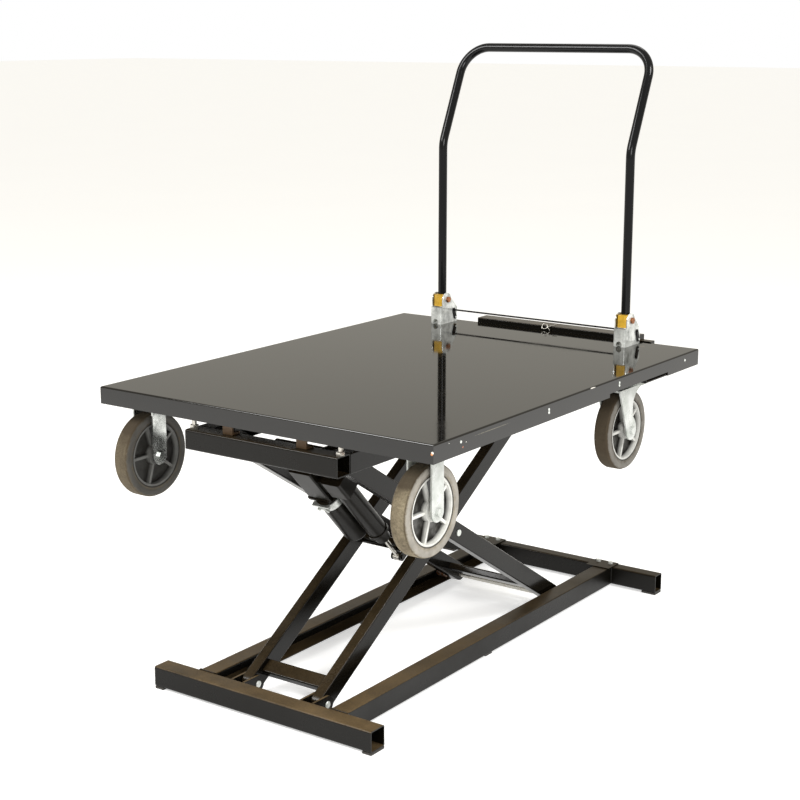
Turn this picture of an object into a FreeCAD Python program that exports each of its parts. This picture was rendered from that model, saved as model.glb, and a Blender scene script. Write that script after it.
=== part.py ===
"""Mobile scissor lift table: a flat steel deck on four large castors, carried by a single
scissor that stands on its own welded base frame. Raised, the base carries the table and the
castors hang free. Lowered, the castors reach the floor and the base is drawn up off it.

Frame: X across the deck, Y along it with the push handle at +Y, Z up from the floor.
The origin is the centre of the overall footprint, on the floor. Millimetres throughout.
"""
import FreeCAD
import Part
import math
import os

V = FreeCAD.Vector
OUT_DIR = "parts"

# ---- driving dimensions -------------------------------------------------------------
# deck
DECK_WIDTH = 1000.0
DECK_LENGTH = 1300.0
DECK_TOP = 757.5
DECK_Y = -34.0              # deck centre, measured from the centre of the footprint
DECK_SHEET = 2.5
DECK_FLANGE = 44.0
DECK_FOLD = 4.0             # outside radius of the folded edge

# base frame of square tube and roller channels
BASE_HALF_LENGTH = 694.0
PAD_HEIGHT = 6.0
BASE_TUBE = 53.0
BASE_TUBE_WALL = 3.0
FRONT_TUBE_HALF = 338.0
REAR_TUBE_HALF = 376.0
REAR_TUBE_DEPTH = 40.0

# roller channels, the same section in the base and under the deck
CHANNEL_INNER_X = 181.0
CHANNEL_OUTER_X = 231.0
CHANNEL_WALL = 3.5
SUBFRAME_BOTTOM = 634.0
SUBFRAME_HEIGHT = 50.0
SUBFRAME_FRONT_Y = -672.0
SUBFRAME_REAR_Y = 612.0

# scissor
ARM_HALF = 589.0            # from an end pivot to the centre pivot
PIVOT_Y = -588.0            # both front pivots, in the base and under the deck
BASE_PIVOT_Z = 36.0
DECK_PIVOT_Z = 659.0
ARM_WIDTH = 30.0
ARM_DEPTH = 50.0
ARM_WALL = 3.0
INNER_ARM_X = 94.0          # inside face of the inner arms
OUTER_ARM_X = 144.0         # inside face of the outer arms
PIN_D = 18.0
PIN_CHAMFER = 1.2
ROLLER_D = 41.0
ROLLER_WIDTH = 30.0
ROLLER_X = 190.0
AXLE_D = 20.0
AXLE_DROP = 4.5             # the lower roller axle sits this far under the arm's centre line
ARM_LUG = 6.0               # plate of the lugs at the arms' front ends
FIT = 0.05                  # radial running clearance of pins and axles
SIDE_GAP = 0.5              # side clearance between moving faces

# castors
WHEEL_D = 215.0
WHEEL_WIDTH = 44.0
WHEEL_X = 420.0
WHEEL_Z = 579.0
RIM_D = 162.0               # where the tyre sits on the wheel centre
FRONT_WHEEL_Y = -598.0
REAR_WHEEL_Y = 318.0
SWIVEL_TRAIL = 52.0
CASTOR_TOP = 714.0
CASTOR_PLATE = 5.0
PLATE_HALF_X = 50.0
PLATE_HALF_Y = 55.0
LEG_GAP = 8.0               # between tyre side and fork leg
LEG_SHEET = 4.5
WHEEL_AXLE_D = 12.0
NOTCH_START_Y = 105.0       # cut-back of the side flanges over the swivel castors
NOTCH_END_Y = 430.0
NOTCH_RISE = 10.0

# push handle and its folding brackets
HANDLE_X = 308.0
HANDLE_Y = 545.0
HANDLE_D = 25.0
HANDLE_WALL = 2.0
HANDLE_PIVOT_Z = 829.0
HANDLE_BEND_Z = 1294.0
HANDLE_TOP_Y = 667.0
HANDLE_TOP_Z = 1566.0
HANDLE_CORNER_R = 80.0

# lift actuator
ACTUATOR_X = 44.0
ACTUATOR_TUBE_D = 52.0
ROD_D = 12.0
MOTOR_X = -70.0             # from the cylinder's axis
MOTOR_D = 66.0
MOTOR_Z = -7.0
UPPER_EYE_S = 153.5         # along the outer arms from the deck pivot
UPPER_TUBE_S = UPPER_EYE_S + 4.0
UPPER_TUBE_N = 40.0         # cross tube that carries the upper eye, above the arms' centre line
LOWER_EYE_S = 480.0         # along the inner arms from the base pivot
LOWER_EYE_N = -8.0          # below their centre line
LOWER_TUBE_S = LOWER_EYE_S + 33.0
LOWER_TUBE_N = -4.0
COLLAR_D = 40.0
COLLAR_BORE = 32.5          # room for the rod's end to swing a little as it slides
ROD_START = 168.0           # inner end of the rod, from the upper eye
HEAD_START = 24.0           # the rest of these lie along the cylinder, from the upper eye
HEAD_END = 84.0
TUBE_END = 282.0
NOSE_END = 312.0
COVER_START = -6.0
COVER_END = 116.0
MOTOR_END = 298.0

# ---- values that follow -------------------------------------------------------------
ARM_ANGLE = math.degrees(math.asin((DECK_PIVOT_Z - BASE_PIVOT_Z) / (2 * ARM_HALF)))
COS_A = math.cos(math.radians(ARM_ANGLE))
SIN_A = math.sin(math.radians(ARM_ANGLE))
ARM_LENGTH = 2 * ARM_HALF
CENTRE_Y = PIVOT_Y + ARM_HALF * COS_A
CENTRE_Z = BASE_PIVOT_Z + ARM_HALF * SIN_A
DECK_FRONT = DECK_Y - DECK_LENGTH / 2
DECK_REAR = DECK_Y + DECK_LENGTH / 2
BASE_TOP = PAD_HEIGHT + BASE_TUBE
SUBFRAME_TOP = SUBFRAME_BOTTOM + SUBFRAME_HEIGHT
REAR_TUBE_Y = BASE_HALF_LENGTH - REAR_TUBE_DEPTH
FRONT_TUBE_REAR_Y = -BASE_HALF_LENGTH + BASE_TUBE
SUBFRAME_RAIL_Y = SUBFRAME_FRONT_Y + SUBFRAME_HEIGHT
SWIVEL_Y = REAR_WHEEL_Y + SWIVEL_TRAIL
WHEEL_R = WHEEL_D / 2


# ---- helpers ------------------------------------------------------------------------
def box(x0, x1, y0, y1, z0, z1):
    """Block between two corners."""
    return Part.makeBox(x1 - x0, y1 - y0, z1 - z0, V(x0, y0, z0))


def rod_x(x0, x1, y, z, d):
    """Round bar along X."""
    return Part.makeCylinder(d / 2, x1 - x0, V(x0, y, z), V(1, 0, 0))


def rod_z(x, y, z0, z1, d):
    """Round bar along Z."""
    return Part.makeCylinder(d / 2, z1 - z0, V(x, y, z0), V(0, 0, 1))


def hex_z(x, y, z0, z1, across):
    """Hexagon bar along Z, given across its flats."""
    r = across / math.sqrt(3)
    points = [V(x + r * math.cos(math.radians(60 * i)), y + r * math.sin(math.radians(60 * i)), z0)
              for i in range(7)]
    return Part.Face(Part.makePolygon(points)).extrude(V(0, 0, z1 - z0))


def hex_x(x0, x1, y, z, across):
    """Hexagon bar along X, given across its flats."""
    r = across / math.sqrt(3)
    points = [V(x0, y + r * math.cos(math.radians(60 * i)), z + r * math.sin(math.radians(60 * i)))
              for i in range(7)]
    return Part.Face(Part.makePolygon(points)).extrude(V(x1 - x0, 0, 0))


def rounded_face(a0, a1, b0, b1, r, place):
    """Rectangle with round corners; place(a, b) gives the 3-D point."""
    k = r * (1 - math.sqrt(0.5))
    corners = [(a0, b0), (a1, b0), (a1, b1), (a0, b1)]
    inward = [(1, 1), (-1, 1), (-1, -1), (1, -1)]
    edges = []
    ends = []
    for (a, b), (sa, sb) in zip(corners, inward):
        along_a = place(a + sa * r, b)
        along_b = place(a, b + sb * r)
        middle = place(a + sa * k, b + sb * k)
        first, last = (along_b, along_a) if sa * sb > 0 else (along_a, along_b)
        ends.append((first, last))
        edges.append(Part.Arc(first, middle, last).toShape())
    for i in range(4):
        edges.append(Part.makeLine(ends[i][1], ends[(i + 1) % 4][0]))
    return Part.Face(Part.Wire(Part.__sortEdges__(edges)))


def tube_x(x0, x1, y0, y1, z0, z1, wall, r=5.0):
    """Open-ended rectangular tube along X."""
    outer = rounded_face(y0, y1, z0, z1, r, lambda a, b: V(x0, a, b))
    inner = rounded_face(y0 + wall, y1 - wall, z0 + wall, z1 - wall, r - wall + 0.5,
                         lambda a, b: V(x0, a, b))
    run = V(x1 - x0, 0, 0)
    return outer.extrude(run).cut(inner.extrude(run))


def plate_x(x0, x1, profile):
    """Plate of the YZ outline profile, between two X positions."""
    return Part.Face(profile(x0)).extrude(V(x1 - x0, 0, 0))


def turned_x(points, x, y, z):
    """Body of revolution about an X axis from (offset, radius) points."""
    outline = [V(x + a, y, z + r) for a, r in points]
    outline.append(outline[0])
    return Part.Face(Part.makePolygon(outline)).revolve(V(x, y, z), V(1, 0, 0), 360)


def turned_z(points, x, y):
    """Body of revolution about a Z axis from (radius, height) points."""
    outline = [V(x + r, y, h) for r, h in points]
    outline.append(outline[0])
    return Part.Face(Part.makePolygon(outline)).revolve(V(x, y, 0), V(0, 0, 1), 360)


def mirrored(shape):
    """The same shape on the other side of the centre plane."""
    return shape.mirror(V(0, 0, 0), V(1, 0, 0))


def pair(shape):
    """A shape and its mirror image, as separate solids."""
    return Part.makeCompound([shape, mirrored(shape)])


def save(name, shape):
    """Write one named piece."""
    shape.exportStep(os.path.join(OUT_DIR, name + ".step"))


# ---- base frame ---------------------------------------------------------------------
def channel(outer_x, inner_x, y0, y1, z0, z1):
    """Roller channel, web outside and open towards the arms."""
    block = rounded_face(inner_x, outer_x, z0, z1, 3.0, lambda a, b: V(a, y0, b))
    solid = block.extrude(V(0, y1 - y0, 0))
    return solid.cut(box(inner_x - 5.0, outer_x - CHANNEL_WALL, y0 - 1, y1 + 1,
                         z0 + CHANNEL_WALL, z1 - CHANNEL_WALL))


def pivot_lug_pair(arm_x, y_root, pivot_z, z0, z1):
    """Two lug plates that hold one arm's end pin, one each side of the arm."""
    nose = 22.0
    inner_x = arm_x - SIDE_GAP - ARM_LUG
    outer_x = arm_x + ARM_WIDTH + SIDE_GAP

    def outline(x):
        top = V(x, PIVOT_Y, min(z1, pivot_z + nose))
        bottom = V(x, PIVOT_Y, max(z0, pivot_z - nose))
        r_top = top.z - pivot_z
        arc = Part.Arc(bottom, V(x, PIVOT_Y + r_top, pivot_z), top).toShape()
        return Part.Wire([Part.makeLine(V(x, y_root, bottom.z), bottom), arc,
                          Part.makeLine(top, V(x, y_root, top.z)),
                          Part.makeLine(V(x, y_root, top.z), V(x, y_root, bottom.z))])

    hole = rod_x(inner_x - 1, outer_x + ARM_LUG + 1, PIVOT_Y, pivot_z, PIN_D)
    return [plate_x(x, x + ARM_LUG, outline).cut(hole) for x in (inner_x, outer_x)]


def base_pads():
    """Six rubber pads: at the ends of both tubes and half way along the rails."""
    front_length, rear_length, inset, rail_inset = 26.0, 44.0, 1.0, 4.0
    middle_front, middle_rear = -32.0, -2.0
    ends = ((FRONT_TUBE_HALF, -BASE_HALF_LENGTH, FRONT_TUBE_REAR_Y, front_length),
            (REAR_TUBE_HALF, REAR_TUBE_Y, BASE_HALF_LENGTH, rear_length))
    pads = [box(half - length, half, y0 + inset, y1 - inset, 0, PAD_HEIGHT) for half, y0, y1, length in ends]
    pads.append(box(CHANNEL_INNER_X + rail_inset, CHANNEL_OUTER_X - rail_inset,
                    middle_front, middle_rear, 0, PAD_HEIGHT))
    return Part.makeCompound(pads + [mirrored(pad) for pad in pads])


def base_frame():
    """Welded floor frame: front and rear tubes, roller channels, pads and pivot lugs."""
    front = tube_x(-FRONT_TUBE_HALF, FRONT_TUBE_HALF, -BASE_HALF_LENGTH, FRONT_TUBE_REAR_Y,
                   PAD_HEIGHT, BASE_TOP, BASE_TUBE_WALL)
    rear = tube_x(-REAR_TUBE_HALF, REAR_TUBE_HALF, REAR_TUBE_Y, BASE_HALF_LENGTH,
                  PAD_HEIGHT, BASE_TOP, BASE_TUBE_WALL)
    save("base_front_tube", front)
    save("base_rear_tube", rear)
    rail = channel(CHANNEL_OUTER_X, CHANNEL_INNER_X, FRONT_TUBE_REAR_Y, REAR_TUBE_Y,
                   PAD_HEIGHT, BASE_TOP)
    save("base_rail_right", rail)
    save("base_rail_left", mirrored(rail))

    plate_x0, plate_x1, lap, plate_t = 160.0, 236.0, 36.0, 3.0
    rail_lap, bolt_inset, head_height, head_across = 26.0, 18.0, 6.0, 13.0
    plate_top = BASE_TOP + plate_t
    plate = box(plate_x0, plate_x1, REAR_TUBE_Y - rail_lap, REAR_TUBE_Y + lap, BASE_TOP, plate_top)
    save("base_lap_plates", pair(plate))
    bolts = []
    for x in (plate_x0 + bolt_inset, plate_x1 - bolt_inset):
        head = hex_z(x, REAR_TUBE_Y + bolt_inset, plate_top, plate_top + head_height, head_across)
        bolts.append(head)
        bolts.append(mirrored(head))
    save("base_bolts", Part.makeCompound(bolts))

    save("base_pads", base_pads())

    lugs = pivot_lug_pair(INNER_ARM_X, FRONT_TUBE_REAR_Y, BASE_PIVOT_Z, PAD_HEIGHT + 4, BASE_TOP + 6)
    save("base_pivot_lugs", Part.makeCompound(lugs + [mirrored(s) for s in lugs]))
    pin = arm_end_pin(INNER_ARM_X, BASE_PIVOT_Z)
    save("base_pivot_pins", pair(pin))


def arm_end_pin(arm_x, pivot_z):
    """Plain pin through one arm end and its two lugs, with chamfered ends."""
    stand_out = 2.5
    reach = SIDE_GAP + ARM_LUG + stand_out
    pin = rod_x(arm_x - reach, arm_x + ARM_WIDTH + reach, PIVOT_Y, pivot_z, PIN_D)
    return chamfered(pin)


def chamfered(pin):
    """Pin with a small chamfer at both ends."""
    ends = [e for e in pin.Edges if e.Curve.TypeId == "Part::GeomCircle"]
    return pin.makeChamfer(PIN_CHAMFER, ends)


# ---- scissor arms -------------------------------------------------------------------
def raise_inner(shape):
    """From the inner arms' own frame (pivot at the origin, arm along +Y) to the lifted place."""
    placed = shape.copy()
    placed.rotate(V(0, 0, 0), V(1, 0, 0), ARM_ANGLE)
    placed.translate(V(0, PIVOT_Y, BASE_PIVOT_Z))
    return placed


def raise_outer(shape):
    """From the outer arms' own frame (deck pivot at the origin, arm along +Y) to the lifted place."""
    placed = shape.copy()
    placed.rotate(V(0, 0, 0), V(1, 0, 0), -ARM_ANGLE)
    placed.translate(V(0, PIVOT_Y, DECK_PIVOT_Z))
    return placed


def arm(x0, end_hole_d, end_drop, seat_centre):
    """Rectangular-tube arm with round ends, holes for its pivots and welded pivot bushes."""
    r = ARM_DEPTH / 2
    edge_r, solid_end, bush = 3.5, 22.0, PIN_D + 12.0
    ends = Part.Wire([
        Part.makeLine(V(x0, 0, -r), V(x0, ARM_LENGTH, -r)),
        Part.Arc(V(x0, ARM_LENGTH, -r), V(x0, ARM_LENGTH + r, 0), V(x0, ARM_LENGTH, r)).toShape(),
        Part.makeLine(V(x0, ARM_LENGTH, r), V(x0, 0, r)),
        Part.Arc(V(x0, 0, r), V(x0, -r, 0), V(x0, 0, -r)).toShape()])
    solid = Part.Face(ends).extrude(V(ARM_WIDTH, 0, 0))
    rims = [e for e in solid.Edges
            if abs(e.BoundBox.XMin - x0) < 1e-6 and abs(e.BoundBox.XMax - x0) < 1e-6
            or abs(e.BoundBox.XMin - x0 - ARM_WIDTH) < 1e-6]
    solid = solid.makeFillet(edge_r, rims)
    spans = [(solid_end, ARM_HALF - bush / 2), (ARM_HALF + bush / 2, ARM_LENGTH - solid_end)]
    for y0, y1 in spans:
        solid = solid.cut(box(x0 + ARM_WALL, x0 + ARM_WIDTH - ARM_WALL, y0, y1,
                              -r + ARM_WALL, r - ARM_WALL))
    centre_d = PIN_D + (0 if seat_centre else 2 * FIT)
    for y, z, d in ((0, 0, PIN_D + 2 * FIT), (ARM_HALF, 0, centre_d),
                    (ARM_LENGTH, end_drop, end_hole_d)):
        solid = solid.cut(rod_x(x0 - 1, x0 + ARM_WIDTH + 1, y, z, d))
    return solid


def cross_bars(half):
    """Flat rectangular tubes between a pair of arms, one near each end, in their own frame."""
    near, far, thick, wall, edge_r = 33.0, 73.0, 20.0, 2.5, 4.0
    spans = ((near, far), (ARM_LENGTH - far, ARM_LENGTH - near))
    return [tube_x(-half, half, s0, s1, -thick / 2, thick / 2, wall, edge_r) for s0, s1 in spans]


def eye_lugs(bar_s, bar_n, eye_s, eye_n, eye_d, gap, thick):
    """Two plates from a cross tube to an actuator eye pin."""
    r_bar, r_eye = 15.0, 11.0
    length = math.hypot(eye_s - bar_s, eye_n - bar_n)
    slant = math.asin((r_bar - r_eye) / length)
    heading = math.atan2(eye_n - bar_n, eye_s - bar_s)
    solids = []
    for x in (ACTUATOR_X - gap / 2 - thick, ACTUATOR_X + gap / 2):
        def rim(s, n, r, angle):
            return V(x, s + r * math.cos(heading + angle), n + r * math.sin(heading + angle))
        quarter = math.pi / 2 - slant
        wire = Part.Wire([
            Part.makeLine(rim(bar_s, bar_n, r_bar, quarter), rim(eye_s, eye_n, r_eye, quarter)),
            Part.Arc(rim(eye_s, eye_n, r_eye, quarter), rim(eye_s, eye_n, r_eye, 0),
                     rim(eye_s, eye_n, r_eye, -quarter)).toShape(),
            Part.makeLine(rim(eye_s, eye_n, r_eye, -quarter), rim(bar_s, bar_n, r_bar, -quarter)),
            Part.Arc(rim(bar_s, bar_n, r_bar, -quarter), rim(bar_s, bar_n, r_bar, math.pi),
                     rim(bar_s, bar_n, r_bar, quarter)).toShape()])
        plate = Part.Face(wire).extrude(V(thick, 0, 0))
        plate = plate.cut(rod_x(x - 1, x + thick + 1, eye_s, eye_n, eye_d))
        solids.append(plate)
    return solids


def round_cross_tube(half, s, n, d, wall):
    """Round tube between a pair of arms, in their own frame."""
    return rod_x(-half, half, s, n, d).cut(rod_x(-half, half, s, n, d - 2 * wall))


EYE_PIN_D = 12.0
EYE_GAP = 20.0
LUG_SHEET = 5.0


def actuator_mount(half, bar_s, bar_n, eye_s, eye_n):
    """Welded cross tube with two lugs, and the loose eye pin, in the arms' own frame."""
    tube_d = 30.0
    tube = round_cross_tube(half, bar_s, bar_n, tube_d, 3.5)
    for lug in eye_lugs(bar_s, bar_n, eye_s, eye_n, EYE_PIN_D, EYE_GAP, LUG_SHEET):
        tube = tube.fuse(lug.cut(rod_x(-half, half, bar_s, bar_n, tube_d - 1.0)))
    reach = EYE_GAP / 2 + LUG_SHEET + 3.0
    pin = rod_x(ACTUATOR_X - reach, ACTUATOR_X + reach, eye_s, eye_n, EYE_PIN_D)
    return Part.makeCompound([tube, pin])


def roller_axle(arm_outer, s, n):
    """Axle through both arms of a pair, reaching into the channels, with end washers."""
    washer, washer_d, spacer_d = 3.0, 28.0, 26.0
    reach = ROLLER_X + ROLLER_WIDTH + 1.0
    bar = rod_x(-reach, reach, s, n, AXLE_D)
    rings = [rod_x(reach - 0.5, reach - 0.5 + washer, s, n, washer_d),
             rod_x(arm_outer, ROLLER_X - SIDE_GAP, s, n, spacer_d)]
    return bar.fuse(rings + [mirrored(ring) for ring in rings])


def roller(s, n):
    """Steel track roller with crowned edges, bored for its axle."""
    half = ROLLER_WIDTH / 2
    r = ROLLER_D / 2
    bore = AXLE_D / 2 + FIT
    edge = 2.0
    return turned_x([(-half, bore), (-half, r - edge), (-half + edge, r), (half - edge, r),
                     (half, r - edge), (half, bore)], ROLLER_X + half, s, n)


def inner_arms():
    """Inner pair: pivots on the base, rolls under the rear of the deck."""
    boss_x0, boss_x1, boss_d = INNER_ARM_X + ARM_WIDTH, OUTER_ARM_X - SIDE_GAP, PIN_D + 14.0
    boss = rod_x(boss_x0, boss_x1, ARM_HALF, 0, boss_d).cut(
        rod_x(boss_x0 - 1, boss_x1 + 1, ARM_HALF, 0, PIN_D))
    right = arm(INNER_ARM_X, AXLE_D, 0.0, True).fuse(boss)
    save("inner_arm_right", raise_inner(right))
    save("inner_arm_left", raise_inner(mirrored(right)))
    save("inner_cross_bars", Part.makeCompound([raise_inner(bar) for bar in cross_bars(INNER_ARM_X)]))
    mount = actuator_mount(INNER_ARM_X, LOWER_TUBE_S, LOWER_TUBE_N, LOWER_EYE_S, LOWER_EYE_N)
    save("actuator_lower_mount", raise_inner(mount))
    axle = roller_axle(INNER_ARM_X + ARM_WIDTH, ARM_LENGTH, 0.0)
    save("upper_roller_axle", raise_inner(axle))
    wheel = roller(ARM_LENGTH, 0.0)
    save("upper_roller_right", raise_inner(wheel))
    save("upper_roller_left", raise_inner(mirrored(wheel)))

    inner_end, outer_end = 2.0, 3.5
    pin = rod_x(INNER_ARM_X - inner_end, OUTER_ARM_X + ARM_WIDTH + outer_end, ARM_HALF, 0, PIN_D)
    save("centre_pins", pair(raise_inner(chamfered(pin))))


def outer_arms():
    """Outer pair: pivots under the front of the deck, rolls in the base."""
    right = arm(OUTER_ARM_X, AXLE_D, -AXLE_DROP, False)
    save("outer_arm_right", raise_outer(right))
    save("outer_arm_left", raise_outer(mirrored(right)))
    save("outer_cross_bars", Part.makeCompound([raise_outer(bar) for bar in cross_bars(OUTER_ARM_X)]))
    mount = actuator_mount(OUTER_ARM_X, UPPER_TUBE_S, UPPER_TUBE_N, UPPER_EYE_S, 0.0)
    save("actuator_upper_mount", raise_outer(mount))
    axle = roller_axle(OUTER_ARM_X + ARM_WIDTH, ARM_LENGTH, -AXLE_DROP)
    save("lower_roller_axle", raise_outer(axle))
    wheel = roller(ARM_LENGTH, -AXLE_DROP)
    save("lower_roller_right", raise_outer(wheel))
    save("lower_roller_left", raise_outer(mirrored(wheel)))


# ---- actuator -----------------------------------------------------------------------
def eye_points():
    """Upper and lower eye centres of the actuator, as (y, z)."""
    upper = (PIVOT_Y + UPPER_EYE_S * COS_A, DECK_PIVOT_Z - UPPER_EYE_S * SIN_A)
    lower = (PIVOT_Y + LOWER_EYE_S * COS_A - LOWER_EYE_N * SIN_A,
             BASE_PIVOT_Z + LOWER_EYE_S * SIN_A + LOWER_EYE_N * COS_A)
    return upper, lower


def along_actuator(shape):
    """From the actuator's own frame (upper eye at the origin, axis along +Y) to its place."""
    upper, lower = eye_points()
    angle = math.degrees(math.atan2(lower[1] - upper[1], lower[0] - upper[0]))
    placed = shape.copy()
    placed.rotate(V(0, 0, 0), V(1, 0, 0), angle)
    placed.translate(V(ACTUATOR_X, upper[0], upper[1]))
    return placed


def rod_y(y0, y1, x, z, d):
    """Round bar along Y."""
    return Part.makeCylinder(d / 2, y1 - y0, V(x, y0, z), V(0, 1, 0))


def actuator_head(eye_hole):
    """Head block with the upper eye, bridged to the seat of the motor beside it."""
    head_half, bridge_half, bridge_x = 29.0, 22.0, -44.0
    eye = rod_x(-9.0, 9.0, 0, 0, 26.0).fuse(box(-9.0, 9.0, 0, HEAD_START + 2, -11.0, 11.0))
    head = box(-head_half, head_half, HEAD_START, HEAD_END, -head_half, head_half)
    head = head.makeFillet(7.0, [e for e in head.Edges if e.Length > HEAD_END - HEAD_START - 1
                                 and abs(e.BoundBox.YMax - e.BoundBox.YMin) > 1])
    bridge = box(bridge_x, -head_half + 1, HEAD_START + 8, HEAD_END - 4, -bridge_half, bridge_half - 8)
    return head.fuse([eye, bridge]).cut(eye_hole)


def actuator_cylinder():
    """Tube with an end rim, and the nose that guides the rod."""
    end_cap, wall, rim_lip, rim_length = 8.0, 3.0, 2.5, 10.0
    outer_d = ACTUATOR_TUBE_D
    shell = rod_y(HEAD_END, TUBE_END, 0, 0, outer_d).cut(
        rod_y(HEAD_END, TUBE_END - end_cap, 0, 0, outer_d - 2 * wall))
    rim = rod_y(TUBE_END - rim_length, TUBE_END, 0, 0, outer_d + 2 * rim_lip).cut(
        rod_y(TUBE_END - rim_length - 1, TUBE_END - end_cap, 0, 0, outer_d))
    nose = rod_y(TUBE_END, NOSE_END, 0, 0, COLLAR_D)
    bore = rod_y(TUBE_END - rim_length - 1, NOSE_END + 1, 0, 0, COLLAR_BORE)
    return shell.fuse([rim, nose]).cut(bore)


def actuator_cover():
    """Flat-sided housing over the drive, with a lip round its open end."""
    x0, x1, z0, z1 = -112.0, -44.0, -30.0, 10.0
    lip, lip_length = 3.0, 7.0
    body = rounded_face(x0, x1, z0, z1, 4.0, lambda a, b: V(a, COVER_START, b))
    rim = rounded_face(x0 - lip, x1 - 1, z0 - lip, z1 + lip, 5.0, lambda a, b: V(a, COVER_END - lip_length, b))
    return body.extrude(V(0, COVER_END - COVER_START, 0)).fuse(rim.extrude(V(0, lip_length, 0)))


def actuator_strap():
    """Zinc clamp round the motor: band, folded ear and two screws."""
    band_start, band_end, sheet = COVER_END + 4.0, COVER_END + 26.0, 3.0
    ear_x0, ear_x1, ear_z = MOTOR_X - 30.0, MOTOR_X + 22.0, MOTOR_Z - MOTOR_D / 2
    band = rod_y(band_start, band_end, MOTOR_X, MOTOR_Z, MOTOR_D + 2 * sheet).cut(
        rod_y(band_start - 1, band_end + 1, MOTOR_X, MOTOR_Z, MOTOR_D))
    ear = box(ear_x0, ear_x1, band_start, band_start + 2 * sheet, ear_z - 4.0, ear_z + 8.0)
    ear = ear.cut(rod_y(band_start - 1, band_end, MOTOR_X, MOTOR_Z, MOTOR_D))
    screws = [hex_z(x, band_start + 15.0, 0, 5.0, 9.0) for x in (ear_x0 + 16.0, ear_x1 - 8.0)]
    for screw in screws:
        screw.translate(V(0, 0, ear_z - sheet - 4.0))
    return band.fuse([ear] + screws)


def actuator():
    """Drive, cylinder and push rod between the two cross tubes of the arms."""
    upper, lower = eye_points()
    span = math.hypot(lower[0] - upper[0], lower[1] - upper[1])
    eye_hole = rod_x(-10.0, 10.0, 0, 0, EYE_PIN_D + 2 * FIT)
    save("actuator_head", along_actuator(actuator_head(eye_hole)))
    save("actuator_tube", along_actuator(actuator_cylinder()))
    save("actuator_cover", along_actuator(actuator_cover()))
    save("actuator_fittings", along_actuator(actuator_strap()))

    motor = rod_y(COVER_END, MOTOR_END, MOTOR_X, MOTOR_Z, MOTOR_D)
    rims = [e for e in motor.Edges
            if e.Curve.TypeId == "Part::GeomCircle" and e.BoundBox.YMin > COVER_END + 1]
    save("actuator_motor", along_actuator(motor.makeFillet(10.0, rims)))

    rod = rod_y(ROD_START, span - 5.0, 0, 0, ROD_D)
    rod_eye = rod_x(-9.0, 9.0, span, 0, 22.0)
    eye_hole.translate(V(0, span, 0))
    save("actuator_rod", along_actuator(rod.fuse(rod_eye).cut(eye_hole)))


# ---- deck ---------------------------------------------------------------------------
CROSS_CHANNEL_WIDTH = 124.0
CROSS_CHANNEL_WALL = 3.0


def deck_panel():
    """Folded steel deck: flat top with a flange down on every side."""
    half = DECK_WIDTH / 2
    outer = box(-half, half, DECK_FRONT, DECK_REAR, DECK_TOP - DECK_FLANGE, DECK_TOP)
    top_edges = [e for e in outer.Edges if e.BoundBox.ZMin > DECK_TOP - 1]
    outer = outer.makeFillet(DECK_FOLD, top_edges)
    inner = box(-half + DECK_SHEET, half - DECK_SHEET, DECK_FRONT + DECK_SHEET, DECK_REAR - DECK_SHEET,
                DECK_TOP - DECK_FLANGE - 1, DECK_TOP - DECK_SHEET)
    notches = []
    for side in (-1, 1):
        x0, x1 = sorted((side * (half - DECK_SHEET - 1), side * (half + 1)))
        notches.append(box(x0, x1, NOTCH_START_Y, NOTCH_END_Y, DECK_TOP - DECK_FLANGE - 1,
                           DECK_TOP - DECK_FLANGE + NOTCH_RISE))
    return outer.cut([inner] + notches)


def cross_channel(y_centre, width):
    """Folded channel under the deck that carries castors and lift frame."""
    half = DECK_WIDTH / 2 - DECK_SHEET
    y0, y1 = y_centre - width / 2, y_centre + width / 2
    outer = box(-half, half, y0, y1, CASTOR_TOP, DECK_TOP - DECK_SHEET)
    return outer.cut(box(-half - 1, half + 1, y0 + CROSS_CHANNEL_WALL, y1 - CROSS_CHANNEL_WALL,
                         CASTOR_TOP + CROSS_CHANNEL_WALL, DECK_TOP))


def rear_bar():
    """Closed box bar welded behind the rear flange, its top a little above the deck."""
    left, right, depth, height, rise, wall = -226.0, 306.0, 52.0, 36.0, 13.0, 2.0
    foot_right, foot_depth, foot_rise = 353.0, 24.0, 3.0
    top = DECK_TOP + rise
    outer = rounded_face(DECK_REAR, DECK_REAR + depth, top - height, top, 2.5, lambda a, b: V(left, a, b))
    bar = outer.extrude(V(right - left, 0, 0))
    bar = bar.cut(box(left + wall, right - wall, DECK_REAR + wall, DECK_REAR + depth - wall,
                      top - height + wall, top - wall))
    foot = box(right, foot_right, DECK_REAR, DECK_REAR + foot_depth, top - height, DECK_TOP + foot_rise)
    return bar.fuse(foot)


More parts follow.
